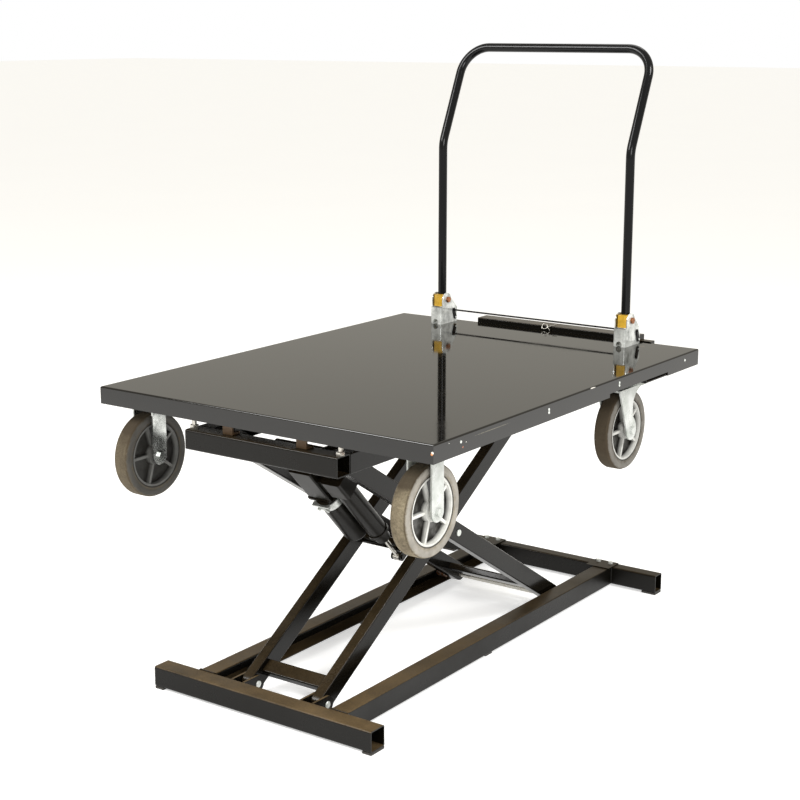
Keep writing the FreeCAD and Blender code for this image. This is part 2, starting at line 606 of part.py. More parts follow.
def deck_group():
    """Deck, its underframe and the frame that the scissor carries."""
    save("deck_panel", deck_panel())
    save("deck_cross_channels", Part.makeCompound(
        [cross_channel(y, CROSS_CHANNEL_WIDTH) for y in (FRONT_WHEEL_Y, SWIVEL_Y)]))
    front = tube_x(-CHANNEL_OUTER_X + 1, CHANNEL_OUTER_X - 1, SUBFRAME_FRONT_Y, SUBFRAME_RAIL_Y,
                   SUBFRAME_BOTTOM, SUBFRAME_TOP, 3.0)
    save("lift_frame_front_tube", front)
    side = channel(CHANNEL_OUTER_X, CHANNEL_INNER_X, SUBFRAME_RAIL_Y, SUBFRAME_REAR_Y,
                   SUBFRAME_BOTTOM, SUBFRAME_TOP)
    save("lift_frame_channels", pair(side))

    rear_depth = 60.0
    rear = tube_x(-CHANNEL_OUTER_X, CHANNEL_OUTER_X, SUBFRAME_REAR_Y - rear_depth, SUBFRAME_REAR_Y,
                  SUBFRAME_TOP, CASTOR_TOP - 0.5, 3.0)
    save("lift_frame_rear_tube", rear)
    lugs = pivot_lug_pair(OUTER_ARM_X, SUBFRAME_RAIL_Y, DECK_PIVOT_Z, SUBFRAME_BOTTOM + 2,
                          SUBFRAME_TOP - 2)
    save("deck_pivot_lugs", Part.makeCompound(lugs + [mirrored(s) for s in lugs]))
    save("deck_pivot_pins", pair(arm_end_pin(OUTER_ARM_X, DECK_PIVOT_Z)))

    cleat_x, cleat_width, cleat_t = 97.0, 30.0, 5.0
    y0 = SUBFRAME_RAIL_Y - 30.0
    upright = box(cleat_x, cleat_x + cleat_width, y0, y0 + cleat_t, SUBFRAME_TOP, CASTOR_TOP)
    foot = box(cleat_x, cleat_x + cleat_width, y0, y0 + 28.0, SUBFRAME_TOP, SUBFRAME_TOP + cleat_t)
    save("lift_frame_cleats", pair(upright.fuse(foot)))

    studs = []
    stud_d, nut_height, nut_across = 12.0, 8.0, 19.0
    for x, y in ((222.0, SUBFRAME_RAIL_Y - 25.0), (206.0, SWIVEL_Y), (206.0, SWIVEL_Y - 44.0)):
        stud = rod_z(x, y, SUBFRAME_TOP, CASTOR_TOP, stud_d)
        stud = stud.fuse([hex_z(x, y, SUBFRAME_TOP, SUBFRAME_TOP + nut_height, nut_across),
                          hex_z(x, y, CASTOR_TOP - nut_height, CASTOR_TOP, nut_across)])
        studs.append(stud)
        studs.append(mirrored(stud))
    save("lift_frame_studs", Part.makeCompound(studs))

    save("deck_rear_bar", rear_bar())


# ---- folding push handle ------------------------------------------------------------
BRACKET_HALF = 20.0
BRACKET_WALL = 3.0
BRACKET_FRONT = HANDLE_Y - 35.0
BRACKET_REAR = HANDLE_Y + 51.0
BRACKET_LIP = 808.0
LATCH_Y = HANDLE_Y + 30.0
LATCH_Z = 794.0
CRANK_Y = HANDLE_Y + 38.0
CRANK_Z = 771.0
CRANK_PIN_D = 6.0
CRANK_SHEET = 3.0
LATCH_ROD_D = 5.0
PIVOT_BOLT_D = 10.0
SOCKET_HEIGHT = 34.0
HANDLE_FOOT_Z = HANDLE_PIVOT_Z - 17.0


def bracket_outline(x):
    """Side view of a hinge bracket: upright front, round ear over the pivot, sloping back."""
    ear_y, ear_r = HANDLE_Y - 2.0, 20.0
    ear_top = V(x, ear_y, HANDLE_PIVOT_Z + ear_r)
    ear_back = V(x, ear_y + ear_r * math.cos(0.3), HANDLE_PIVOT_Z + ear_r * math.sin(0.3))
    over = math.pi / 4 + 0.15
    ear_middle = V(x, ear_y + ear_r * math.cos(over), HANDLE_PIVOT_Z + ear_r * math.sin(over))
    neck = V(x, BRACKET_FRONT + 9.5, HANDLE_PIVOT_Z + 2.0)
    neck_middle = V(x, BRACKET_FRONT + 15.5, HANDLE_PIVOT_Z + 14.8)
    points = [V(x, BRACKET_REAR, LATCH_Z + 6.0), V(x, BRACKET_REAR, DECK_TOP),
              V(x, BRACKET_FRONT, DECK_TOP), V(x, BRACKET_FRONT, BRACKET_LIP),
              V(x, BRACKET_FRONT + 9.5, BRACKET_LIP), neck]
    edges = [Part.makeLine(a, b) for a, b in zip(points, points[1:])]
    edges.append(Part.Arc(neck, neck_middle, ear_top).toShape())
    edges.append(Part.Arc(ear_top, ear_middle, ear_back).toShape())
    edges.append(Part.makeLine(ear_back, points[0]))
    return Part.Wire(edges)


def hinge_bracket():
    """Bent sheet bracket that straddles one foot of the handle."""
    x0, x1 = HANDLE_X - BRACKET_HALF, HANDLE_X + BRACKET_HALF
    top = HANDLE_PIVOT_Z + 40.0
    outer = rounded_face(x0, x1, BRACKET_FRONT, BRACKET_REAR + 30.0, 9.0, lambda a, b: V(a, b, DECK_TOP))
    inner = rounded_face(x0 + BRACKET_WALL, x1 - BRACKET_WALL, BRACKET_FRONT + BRACKET_WALL,
                         BRACKET_REAR + 40.0, 6.0, lambda a, b: V(a, b, DECK_TOP + BRACKET_WALL))
    shell = outer.extrude(V(0, 0, top - DECK_TOP)).cut(inner.extrude(V(0, 0, top - DECK_TOP)))
    shell = shell.common(plate_x(x0, x1, bracket_outline))
    arch = Part.makeCylinder(9.0, 12.0, V(HANDLE_X, BRACKET_FRONT - 1, DECK_TOP + 6.0), V(0, 1, 0))
    arch = arch.fuse(box(HANDLE_X - 9.0, HANDLE_X + 9.0, BRACKET_FRONT - 1, BRACKET_FRONT + 11.0,
                         DECK_TOP + BRACKET_WALL, DECK_TOP + 6.0))
    slot = box(x0 - 1, x1 + 1, LATCH_Y - 3.2, LATCH_Y + 11.6, LATCH_Z - 3.2, LATCH_Z + 4.8)
    holes = [rod_x(x0 - 1, x1 + 1, HANDLE_Y, HANDLE_PIVOT_Z, PIVOT_BOLT_D),
             rod_x(x0 - 1, x1 + 1, CRANK_Y, CRANK_Z, CRANK_PIN_D)]
    return shell.cut([arch, slot] + holes)


def bracket_fasteners():
    """Handle pivot bolt and latch pivot pin of one bracket."""
    head, nut, across, pin_end = 5.5, 6.0, 16.0, 6.5
    x0, x1 = HANDLE_X - BRACKET_HALF, HANDLE_X + BRACKET_HALF
    bolt = rod_x(x0 - 5.0, x1 + 1.0, HANDLE_Y, HANDLE_PIVOT_Z, PIVOT_BOLT_D)
    bolt = bolt.fuse([hex_x(x1, x1 + head, HANDLE_Y, HANDLE_PIVOT_Z, across),
                      hex_x(x0 - nut, x0, HANDLE_Y, HANDLE_PIVOT_Z, across)])
    pin = rod_x(x0 - pin_end, x1 + pin_end, CRANK_Y, CRANK_Z, CRANK_PIN_D)
    return bolt, pin


def handle_path():
    """Centre line of the push handle from the right foot over the top to the left."""
    lean = V(0, HANDLE_TOP_Y - HANDLE_Y, HANDLE_TOP_Z - HANDLE_BEND_Z)
    lean.normalize()
    foot = V(HANDLE_X, HANDLE_Y, HANDLE_FOOT_Z)
    bend = V(HANDLE_X, HANDLE_Y, HANDLE_BEND_Z)
    corner = V(HANDLE_X, HANDLE_TOP_Y, HANDLE_TOP_Z)
    half_turn = math.atan2(lean.y, lean.z) / 2
    bend_r = 90.0
    cut = bend_r * math.tan(half_turn)
    before = bend - V(0, 0, cut)
    after = bend + lean * cut
    sagitta = bend_r / math.cos(half_turn) - bend_r
    inward = V(0, math.cos(half_turn), -math.sin(half_turn)) * sagitta
    side_end = corner - lean * HANDLE_CORNER_R
    top_start = corner - V(HANDLE_CORNER_R, 0, 0)
    shift = HANDLE_CORNER_R * (1 - math.sqrt(0.5))
    corner_middle = corner - lean * shift - V(shift, 0, 0)
    right = [Part.makeLine(foot, before), Part.Arc(before, bend + inward, after).toShape(),
             Part.makeLine(after, side_end), Part.Arc(side_end, corner_middle, top_start).toShape()]
    left = [mirrored(edge) for edge in right]
    top = Part.makeLine(top_start, V(-top_start.x, top_start.y, top_start.z))
    return Part.Wire(Part.__sortEdges__(right + [top] + left))


def handle_socket(bore):
    """Moulded block round the handle's foot, with a groove down its front left corner."""
    half = BRACKET_HALF - BRACKET_WALL - SIDE_GAP
    front, rear, corner_r = HANDLE_Y - 29.0, HANDLE_Y + 15.0, 7.0
    groove_x, groove_width, groove_depth = HANDLE_X - 13.0, 4.0, 7.0
    z0 = HANDLE_PIVOT_Z - SOCKET_HEIGHT / 2 - 1.0
    z1 = z0 + SOCKET_HEIGHT
    block = rounded_face(HANDLE_X - half, HANDLE_X + half, front, rear, corner_r, lambda a, b: V(a, b, z0))
    block = block.extrude(V(0, 0, SOCKET_HEIGHT))
    groove = box(groove_x, groove_x + groove_width, front - 1, front + groove_depth, z0 - 1, z1 + 1)
    return block.cut([rod_z(HANDLE_X, HANDLE_Y, z0 - 1, z1 + 1, HANDLE_D), bore]), groove


def push_handle():
    """Bent tube handle, its sockets, and the hinge and latch hardware."""
    path = handle_path()
    foot = V(HANDLE_X, HANDLE_Y, HANDLE_FOOT_Z)
    outside = Part.Wire(Part.makeCircle(HANDLE_D / 2, foot, V(0, 0, 1)))
    inside = Part.Wire(Part.makeCircle(HANDLE_D / 2 - HANDLE_WALL, foot, V(0, 0, 1)))
    tube = path.makePipeShell([outside], True, True).cut(path.makePipeShell([inside], True, True))
    bore = rod_x(-HANDLE_X - 40, HANDLE_X + 40, HANDLE_Y, HANDLE_PIVOT_Z, PIVOT_BOLT_D + 2 * FIT)
    save("push_handle", tube.cut(bore))

    socket, groove = handle_socket(bore)
    groove_left = groove.copy()
    groove_left.translate(V(-2 * HANDLE_X, 0, 0))
    save("handle_sockets", Part.makeCompound([socket.cut(groove), mirrored(socket).cut(groove_left)]))

    bracket = hinge_bracket()
    save("handle_bracket_right", bracket)
    save("handle_bracket_left", mirrored(bracket))
    bolt, pin = bracket_fasteners()
    bolt_inset, head_height, head_across = 16.0, 6.0, 13.0
    head_z = DECK_TOP + BRACKET_WALL
    heads = [hex_z(HANDLE_X, y, head_z, head_z + head_height, head_across)
             for y in (BRACKET_FRONT + bolt_inset, BRACKET_REAR - bolt_inset)]
    save("handle_pivot_bolts", pair(bolt))
    save("bracket_fasteners", Part.makeCompound(
        [pin, mirrored(pin)] + heads + [mirrored(head) for head in heads]))
    save("handle_latch", latch())


def latch():
    """Cross rod with a crank beside each bracket plate; pulled back it frees the handle."""
    eye_d, rod_end = 12.0, 2.0
    reach = HANDLE_X + BRACKET_HALF + SIDE_GAP + CRANK_SHEET + rod_end
    rod = rod_x(-reach, reach, LATCH_Y, LATCH_Z, LATCH_ROD_D)
    length = math.hypot(LATCH_Y - CRANK_Y, LATCH_Z - CRANK_Z)
    tilt = math.degrees(math.atan2(LATCH_Y - CRANK_Y, LATCH_Z - CRANK_Z))
    cranks = []
    for x in (HANDLE_X - BRACKET_HALF - SIDE_GAP - CRANK_SHEET, HANDLE_X + BRACKET_HALF + SIDE_GAP):
        crank = box(x, x + CRANK_SHEET, -eye_d / 2, eye_d / 2, 0, length)
        crank = crank.fuse([rod_x(x, x + CRANK_SHEET, 0, z, eye_d) for z in (0, length)])
        crank = crank.cut(rod_x(x - 1, x + CRANK_SHEET + 1, 0, 0, CRANK_PIN_D + 2 * FIT))
        crank.rotate(V(0, 0, 0), V(1, 0, 0), -tilt)
        crank.translate(V(0, CRANK_Y, CRANK_Z))
        cranks.append(crank)
        cranks.append(mirrored(crank))
    return rod.fuse(cranks)


# ---- castors ------------------------------------------------------------------------
def wheel_hub(x, y):
    """Moulded wheel centre: rim, closed web, boss and five ribs that stand on both sides."""
    rim_r, half, rim_wall, boss_r, web_half, rib_half = RIM_D / 2, 19.5, 7.0, 25.0, 3.0, 3.5
    rim_in = rim_r - rim_wall
    rim = turned_x([(-half, rim_in + 2), (-half, rim_r), (half, rim_r), (half, rim_in + 2),
                    (half - 5, rim_in), (-half + 5, rim_in)], x, y, WHEEL_Z)
    web = rod_x(x - web_half, x + web_half, y, WHEEL_Z, 2 * rim_in + 2)
    boss = rod_x(x - half, x + half, y, WHEEL_Z, 2 * boss_r)
    sleeve_half = WHEEL_WIDTH / 2 + LEG_GAP - SIDE_GAP
    sleeve = rod_x(x - sleeve_half, x + sleeve_half, y, WHEEL_Z, 26.0)
    solids = [web, boss, sleeve]
    for i in range(5):
        rib = box(x - half + 3, x + half - 3, y - rib_half, y + rib_half, WHEEL_Z + boss_r - 4,
                  WHEEL_Z + rim_in + 2)
        rib.rotate(V(x, y, WHEEL_Z), V(1, 0, 0), 90.0 + 72.0 * i)
        solids.append(rib)
    return rim.fuse(solids).cut(rod_x(x - 40, x + 40, y, WHEEL_Z, WHEEL_AXLE_D + 2 * FIT))


def tyre(x, y):
    """Solid tyre with rounded shoulders and slightly hollow side walls."""
    half, seat, top = WHEEL_WIDTH / 2, RIM_D / 2, WHEEL_R
    side = [(-half + 1.5, seat), (-half + 1.5, seat + 6), (-half, seat + 12), (-half, top - 7),
            (-half + 2, top - 2.2), (-half + 7, top)]
    other = [(-a, r) for a, r in reversed(side)]
    return turned_x(side + other, x, y, WHEEL_Z)


def castor_axle(x, y):
    """Axle bolt with a hexagon head and nut."""
    head, nut, across, bolt_end = 7.0, 8.0, 19.0, 9.0
    inner = WHEEL_WIDTH / 2 + LEG_GAP + LEG_SHEET
    axle = rod_x(x - inner - bolt_end, x + inner + head - 2, y, WHEEL_Z, WHEEL_AXLE_D)
    return axle.fuse([hex_x(x + inner, x + inner + head, y, WHEEL_Z, across),
                      hex_x(x - inner - nut, x - inner, y, WHEEL_Z, across)])


def fork_legs(x, outline):
    """The two legs of a fork, one each side of its wheel."""
    inner = WHEEL_WIDTH / 2 + LEG_GAP
    return [plate_x(x - inner - LEG_SHEET, x - inner, outline),
            plate_x(x + inner, x + inner + LEG_SHEET, outline)]


def front_fork(x, y):
    """Fixed castor: bolting plate, crown and straight legs with round ends."""
    crown_z = CASTOR_TOP - CASTOR_PLATE
    leg_half, end_r = 23.0, 23.5

    def outline(px):
        return Part.Wire([
            Part.makeLine(V(px, y + end_r, WHEEL_Z), V(px, y + leg_half, crown_z)),
            Part.makeLine(V(px, y + leg_half, crown_z), V(px, y - leg_half, crown_z)),
            Part.makeLine(V(px, y - leg_half, crown_z), V(px, y - end_r, WHEEL_Z)),
            Part.Arc(V(px, y - end_r, WHEEL_Z), V(px, y, WHEEL_Z - end_r),
                     V(px, y + end_r, WHEEL_Z)).toShape()])

    inner = WHEEL_WIDTH / 2 + LEG_GAP + LEG_SHEET
    plate = box(x - PLATE_HALF_X, x + PLATE_HALF_X, y - PLATE_HALF_Y, y + PLATE_HALF_Y, crown_z, CASTOR_TOP)
    crown = box(x - inner, x + inner, y - leg_half, y + leg_half, crown_z - LEG_SHEET, crown_z)
    fork = plate.fuse([crown] + fork_legs(x, outline))
    return fork.cut(rod_x(x - 60, x + 60, y, WHEEL_Z, WHEEL_AXLE_D))


RACE_R = 43.0                       # outside radius of the turning race
RACE_SPLIT = CASTOR_TOP - 10.6      # between the fixed and the turning race
SWIVEL_CROWN_Z = CASTOR_TOP - 17.0


def swivel_plate(x):
    """Bolting plate and upper ball race of a swivel castor."""
    under = CASTOR_TOP - CASTOR_PLATE
    plate = box(x - PLATE_HALF_X, x + PLATE_HALF_X, SWIVEL_Y - PLATE_HALF_Y, SWIVEL_Y + PLATE_HALF_Y,
                under, CASTOR_TOP)
    hollow, race_in, race_out = 3.0, RACE_R - 13.0, RACE_R - 5.0
    race = turned_z([(0, under), (0, under - hollow), (race_in, RACE_SPLIT), (race_out, RACE_SPLIT),
                     (RACE_R - 1, under)], x, SWIVEL_Y)
    return plate.fuse(race)


def swivel_fork(x):
    """Turning fork: lower race, crown and waisted legs that carry the wheel off the race's axis."""
    y = REAR_WHEEL_Y
    end_r, front_reach = 26.0, 70.0
    crown_rear = SWIVEL_Y + 30.0
    waist_y, waist_low, waist_high = 4.0, 38.0, 74.0    # from the wheel's centre
    swell = (19.0, 23.0)                                # middle points of the two curves
    sweep = (20.0, 98.0)

    def outline(px):
        def at(dy, dz):
            return V(px, y + dy, WHEEL_Z + dz)
        crown_front = V(px, y - front_reach, SWIVEL_CROWN_Z)
        crown_back = V(px, crown_rear, SWIVEL_CROWN_Z)
        lip = V(px, crown_rear, SWIVEL_CROWN_Z - LEG_SHEET)
        return Part.Wire([
            Part.Arc(at(-end_r, 0), at(0, -end_r), at(end_r, 0)).toShape(),
            Part.Arc(at(end_r, 0), at(*swell), at(waist_y, waist_low)).toShape(),
            Part.makeLine(at(waist_y, waist_low), at(waist_y, waist_high)),
            Part.Arc(at(waist_y, waist_high), at(*sweep), lip).toShape(),
            Part.makeLine(lip, crown_back), Part.makeLine(crown_back, crown_front),
            Part.makeLine(crown_front, at(-end_r, 0))])

    inner = WHEEL_WIDTH / 2 + LEG_GAP + LEG_SHEET
    crown = box(x - inner, x + inner, y - front_reach, crown_rear, SWIVEL_CROWN_Z - LEG_SHEET, SWIVEL_CROWN_Z)
    race = turned_z([(0, SWIVEL_CROWN_Z), (RACE_R, SWIVEL_CROWN_Z), (RACE_R - 2, RACE_SPLIT - 0.4),
                     (0, RACE_SPLIT - 0.4)], x, SWIVEL_Y)
    fork = crown.fuse([race] + fork_legs(x, outline))
    return fork.cut(rod_x(x - 60, x + 60, y, WHEEL_Z, WHEEL_AXLE_D))


def castors():
    """Fixed castors at the front, swivel castors towards the handle."""
    for side, label in ((1, "right"), (-1, "left")):
        x = side * WHEEL_X
        save("front_castor_fork_" + label, Part.makeCompound(
            [front_fork(x, FRONT_WHEEL_Y), castor_axle(x, FRONT_WHEEL_Y)]))
        save("front_wheel_hub_" + label, wheel_hub(x, FRONT_WHEEL_Y))
        save("front_tyre_" + label, tyre(x, FRONT_WHEEL_Y))
        save("rear_castor_fork_" + label, Part.makeCompound(
            [swivel_fork(x), castor_axle(x, REAR_WHEEL_Y)]))
        save("rear_wheel_hub_" + label, wheel_hub(x, REAR_WHEEL_Y))
        save("rear_tyre_" + label, tyre(x, REAR_WHEEL_Y))
    save("swivel_plates", Part.makeCompound([swivel_plate(side * WHEEL_X) for side in (1, -1)]))


def main():
    """Build every piece."""
    os.makedirs("parts", exist_ok=True)
    base_frame()
    inner_arms()
    outer_arms()
    actuator()
    deck_group()
    push_handle()
    castors()


main()
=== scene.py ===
"""Finishes, small fittings, floor and light for the scissor lift table."""
import math

import bmesh
import bpy
from bpy.props import FloatProperty, FloatVectorProperty, PointerProperty
from mathutils import Matrix, Vector


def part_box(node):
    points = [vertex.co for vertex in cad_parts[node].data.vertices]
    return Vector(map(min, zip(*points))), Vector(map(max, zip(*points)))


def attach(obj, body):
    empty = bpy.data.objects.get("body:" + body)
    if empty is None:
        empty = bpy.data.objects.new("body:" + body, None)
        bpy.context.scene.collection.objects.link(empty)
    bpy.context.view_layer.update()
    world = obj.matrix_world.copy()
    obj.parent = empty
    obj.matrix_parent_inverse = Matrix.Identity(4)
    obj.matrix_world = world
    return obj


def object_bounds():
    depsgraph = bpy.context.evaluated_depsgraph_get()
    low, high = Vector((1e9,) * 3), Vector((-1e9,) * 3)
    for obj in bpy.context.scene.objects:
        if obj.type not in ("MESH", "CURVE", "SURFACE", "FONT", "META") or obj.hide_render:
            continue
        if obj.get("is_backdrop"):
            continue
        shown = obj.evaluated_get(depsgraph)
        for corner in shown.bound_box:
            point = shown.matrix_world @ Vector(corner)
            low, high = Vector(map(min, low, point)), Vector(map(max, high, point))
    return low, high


bl_info = {
    "name": "Scissor Lift Table",
    "version": (1, 0, 0),
    "blender": (4, 5, 0),
    "location": "3D View > Sidebar > Lift Table",
    "description": "Dresses the lift table's frame in enamel, zinc, rubber and wear",
    "category": "Object",
}

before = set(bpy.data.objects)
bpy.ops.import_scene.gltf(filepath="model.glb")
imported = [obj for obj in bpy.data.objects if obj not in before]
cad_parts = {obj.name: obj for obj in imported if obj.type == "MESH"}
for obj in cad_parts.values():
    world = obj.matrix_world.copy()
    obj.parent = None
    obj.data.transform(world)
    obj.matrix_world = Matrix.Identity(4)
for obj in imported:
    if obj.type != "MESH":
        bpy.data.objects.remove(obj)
LOW, HIGH = (Vector(corner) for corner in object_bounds())
CENTRE = (LOW + HIGH) / 2
DECK_LOW, DECK_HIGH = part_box("deck_panel")

BLACK, WHITE = (0.0, 0.0, 0.0), (1.0, 1.0, 1.0)

# Places on the CAD pieces, in metres
TUBE_INSET = 0.0165  # from the outer side of a handle socket in to its tube's axis
SOCKET_GROOVE = (-0.0135, -0.0085)  # the groove in a socket, from that axis
WEB_TO_RIB = (0.0045, 0.0125)  # from a wheel's middle plane: its sunk web, its proud ribs
TYRE_SEAM = (0.0832, 0.0852)  # radius of the dark joint between wheel centre and tyre
TREAD_TO_SIDE = (0.0190, 0.0215)  # from a tyre's middle plane: its tread ends, its side starts
SHOULDER_RISE = (0.0150, 0.0185)  # from that plane: where brown rubber starts on the shoulder
SHOULDER_FALL = (0.0185, 0.0205)  # and where it ends
TREAD_SHADE_FROM = (0.062, 0.070)  # above a wheel's axle: the upper stretch of its tread, painted dark as shade under the fork, starts

# Rivets of a side flange: along it from the deck's front, and down from the deck's top
RIVETS = ((0.107, 0.0155), (0.486, 0.016), (0.486, 0.0235), (0.839, 0.0139), (0.839, 0.021),
          (1.216, 0.0185))
RIVET_SIDES = 20

# The wire clip's line, from the middle of the rear bar's upper front edge
CLIP_LINE = ((0.044, 0.008, 0.004), (0.034, 0.004, 0.003), (0.024, -0.004, -0.001),
             (0.013, -0.007, -0.009), (0.002, -0.006, -0.008), (0.000, -0.003, 0.000),
             (0.008, 0.000, 0.005), (0.018, -0.003, 0.003), (0.021, -0.006, -0.006),
             (0.029, -0.006, -0.010))

BEAD_STEPS = 12  # ripples of a weld bead along one straight run
BEAD_START = 0.004  # how far above a rail's underside its weld bead starts

# Each wheel, then its painted light and shade, as shares of the set colours of its wheel centre
# and its sidewall, the painted shade on its sunk web and the dust on its tread
WHEELS = (("front_{}_right", 1.1, 0.72, 1.0, 0.75), ("front_{}_left", 0.22, 0.17, 0.9, 0.30),
          ("rear_{}_right", 0.8, 0.34, 1.0, 0.07), ("rear_{}_left", 0.4, 0.3, 0.9, 0.3))

FLOOR_REACH = 60.0  # from the middle of the floor to each of its sides
SENSOR_WIDTH = 36.0  # in millimetres, as the lens
CAMERA_REACH = 200.0  # the farthest that the camera sees


def colour_prop(name, description, default):
    """A colour the user can change."""
    return FloatVectorProperty(name=name, description=description, default=default, size=3,
                               min=0.0, max=1.0, subtype="COLOR")


def length_prop(name, description, default):
    """A length in metres."""
    return FloatProperty(name=name, description=description, default=default, min=0.0,
                         unit="LENGTH", subtype="DISTANCE")


def share_prop(name, description, default):
    """A share from none to all."""
    return FloatProperty(name=name, description=description, default=default, min=0.0, max=1.0,
                         subtype="FACTOR")


def power_prop(name, description, default):
    """A light's power."""
    return FloatProperty(name=name, description=description, default=default, min=0.0,
                         unit="POWER")


class LiftTableFinish(bpy.types.PropertyGroup):
    """Colours and wear of the table's surfaces."""
    enamel: colour_prop("Enamel", "Gloss enamel of the deck and frames", (0.0020, 0.0016, 0.0009))
    handle_enamel: colour_prop("Handle enamel", "Enamel of the push handle",
                               (0.0035, 0.0036, 0.004))
    dust: colour_prop("Dust", "Warehouse dust lying on the frames", (0.23, 0.155, 0.075))
    zinc: colour_prop("Zinc", "Zinc plate of forks and brackets", (0.74, 0.76, 0.74))
    steel: colour_prop("Bright steel", "Drawn steel of rods and axles", (0.62, 0.60, 0.55))
    rust: colour_prop("Rust", "Light rust on bare steel", (0.26, 0.095, 0.028))
    copper: colour_prop("Copper", "Plate of the handle's pivot bolts", (0.44, 0.17, 0.07))
    yellow: colour_prop("Yellow", "Moulded sockets of the handle", (0.68, 0.40, 0.03))
    tan: colour_prop("Tan", "Packing cleats over the lift frame", (0.13, 0.075, 0.035))
    hub: colour_prop("Wheel centre", "Moulded grey of the wheel centres", (0.60, 0.60, 0.57))
    # The grime colour also paints shade on the wheel centres' sunk webs
    grime: colour_prop("Grime and shade", "Grime in the wheel centres' low places", (0.009, 0.008, 0.006))
    tyre: colour_prop("Tyre", "Solid rubber of the worn treads", (0.040, 0.027, 0.013))
    tyre_dust: colour_prop("Tyre dust", "Pale dust that the treads pick up", (0.31, 0.26, 0.17))
    sidewall: colour_prop("Sidewall", "Chalky grey rubber of the tyres' sides", (0.42, 0.39, 0.34))
    # The rubbed band along the edges is also a painted highlight
    edge_radius: length_prop("Worn edge and highlight", "Width of the rubbed band along folded edges", 0.0016)
    dust_cover: share_prop("Dust cover", "How much of the frames' upper faces dust hides", 0.62)


class LiftTableFittings(bpy.types.PropertyGroup):
    """Sizes of the small fittings."""
    rivet_radius: length_prop("Rivet head", "Radius of the rivet heads on the side flanges", 0.0036)
    rivet_height: length_prop("Rivet height", "How far a rivet head stands off the flange", 0.0014)
    clip_wire: length_prop("Clip wire", "Radius of the wire of the rear bar's clip", 0.0014)
    bead_radius: length_prop("Weld bead", "Radius of the weld beads", 0.0024)


class LiftTableStage(bpy.types.PropertyGroup):
    """Floor, light and camera."""
    turn: FloatProperty(name="Turn", description="Camera's turn from straight ahead of the deck",
                        default=math.radians(35.495), subtype="ANGLE")
    tilt: FloatProperty(name="Tilt", description="Camera's tilt down from level",
                        default=math.radians(12.986), subtype="ANGLE")
    lens: FloatProperty(name="Lens", description="Focal length on a 36 mm wide sensor",
                        default=72.86, min=1.0, subtype="DISTANCE_CAMERA")
    distance: length_prop("Distance", "From the camera to the aim point", 4.2635)
    aim: FloatVectorProperty(name="Aim", description="Aim point from the middle of the table",
                             default=(-0.0321, -0.0546, -0.1216), subtype="TRANSLATION",
                             unit="LENGTH")
    floor: colour_prop("Floor", "Pale floor", (0.80, 0.80, 0.80))
    glow: share_prop("Floor glow", "Even light that the pale floor gives off", 0.50)
    room: colour_prop("Room", "Even soft light from all round", (0.58, 0.555, 0.49))
    key_power: power_prop("Key light", "Power of the large soft light", 190.0)
    fill_power: power_prop("Side light", "Power of the light beside the deck", 130.0)
    front_power: power_prop("Front light", "Power of the light near the camera's side", 105.0)
    top_power: power_prop("Top light", "Power of the light overhead", 25.0)


# ---- shader helpers -----------------------------------------------------------------
def new_tree(name):
    """A material with an empty node tree, and its Principled shader already wired."""
    material = bpy.data.materials.new(name)
    material.use_nodes = True
    tree = material.node_tree
    tree.nodes.clear()
    output = tree.nodes.new("ShaderNodeOutputMaterial")
    shader = tree.nodes.new("ShaderNodeBsdfPrincipled")
    tree.links.new(shader.outputs["BSDF"], output.inputs["Surface"])
    return material, tree, shader


def node(tree, kind, inputs=None, **settings):
    """Adds a node, sets its properties, then sets or links each named input."""
    made = tree.nodes.new(kind)
    for key, value in settings.items():
        setattr(made, key, value)
    for key, value in (inputs or {}).items():
        feed(tree, made.inputs[key], value)
    return made


def feed(tree, socket, value):
    """Links an output to a socket, or sets the socket to a plain value."""
    if isinstance(value, bpy.types.NodeSocket):
        tree.links.new(value, socket)
    elif hasattr(value, "__len__") and len(value) == 3 and socket.type == "RGBA":
        socket.default_value = (*value, 1.0)
    else:
        socket.default_value = value


def mix(tree, factor, a, b):
    """Colour a where factor is 0, b where it is 1."""
    made = node(tree, "ShaderNodeMix", data_type="RGBA")
    feed(tree, made.inputs[0], factor)
    feed(tree, made.inputs[6], a)
    feed(tree, made.inputs[7], b)
    return made.outputs[2]


def sums(tree, kind, a, b=0.0, clamp=False):
    """One math operation."""
    made = node(tree, "ShaderNodeMath", operation=kind, use_clamp=clamp)
    feed(tree, made.inputs[0], a)
    feed(tree, made.inputs[1], b)
    return made.outputs[0]


def ramp(tree, value, low, high, to_low=0.0, to_high=1.0):
    """Straight-line remap with clamped ends."""
    return node(tree, "ShaderNodeMapRange", {"Value": value, "From Min": low, "From Max": high,
                                             "To Min": to_low, "To Max": to_high}).outputs["Result"]


def noise(tree, vector, scale, detail=3.0, rough=0.55):
    """Cloud noise in object space."""
    return node(tree, "ShaderNodeTexNoise", {"Vector": vector, "Scale": scale, "Detail": detail,
                                             "Roughness": rough}).outputs["Fac"]


def clouds(tree, vector, scale, low, high, to_low=0.0, to_high=1.0, **cloud):
    """Cloud noise, remapped from its middle range."""
    return ramp(tree, noise(tree, vector, scale, **cloud), low, high, to_low, to_high)


def vectors(tree, kind, a, b=None):
    """One vector operation; a length or a dot product comes out as a value."""
    made = node(tree, "ShaderNodeVectorMath", operation=kind)
    feed(tree, made.inputs[0], a)
    if b is not None:
        feed(tree, made.inputs[1], b)
    return made.outputs["Value" if kind in ("LENGTH", "DOT_PRODUCT") else "Vector"]


def part_of(tree, vector, axis):
    """One coordinate of a vector."""
    return node(tree, "ShaderNodeSeparateXYZ", {"Vector": vector}).outputs[axis]


def shade_of(colour, share):
    """A colour made darker, or lighter where the share is above one."""
    return [c * share for c in colour]


def object_space(tree):
    """Object coordinates, which stay with a piece when it moves."""
    return node(tree, "ShaderNodeTexCoord").outputs["Object"]


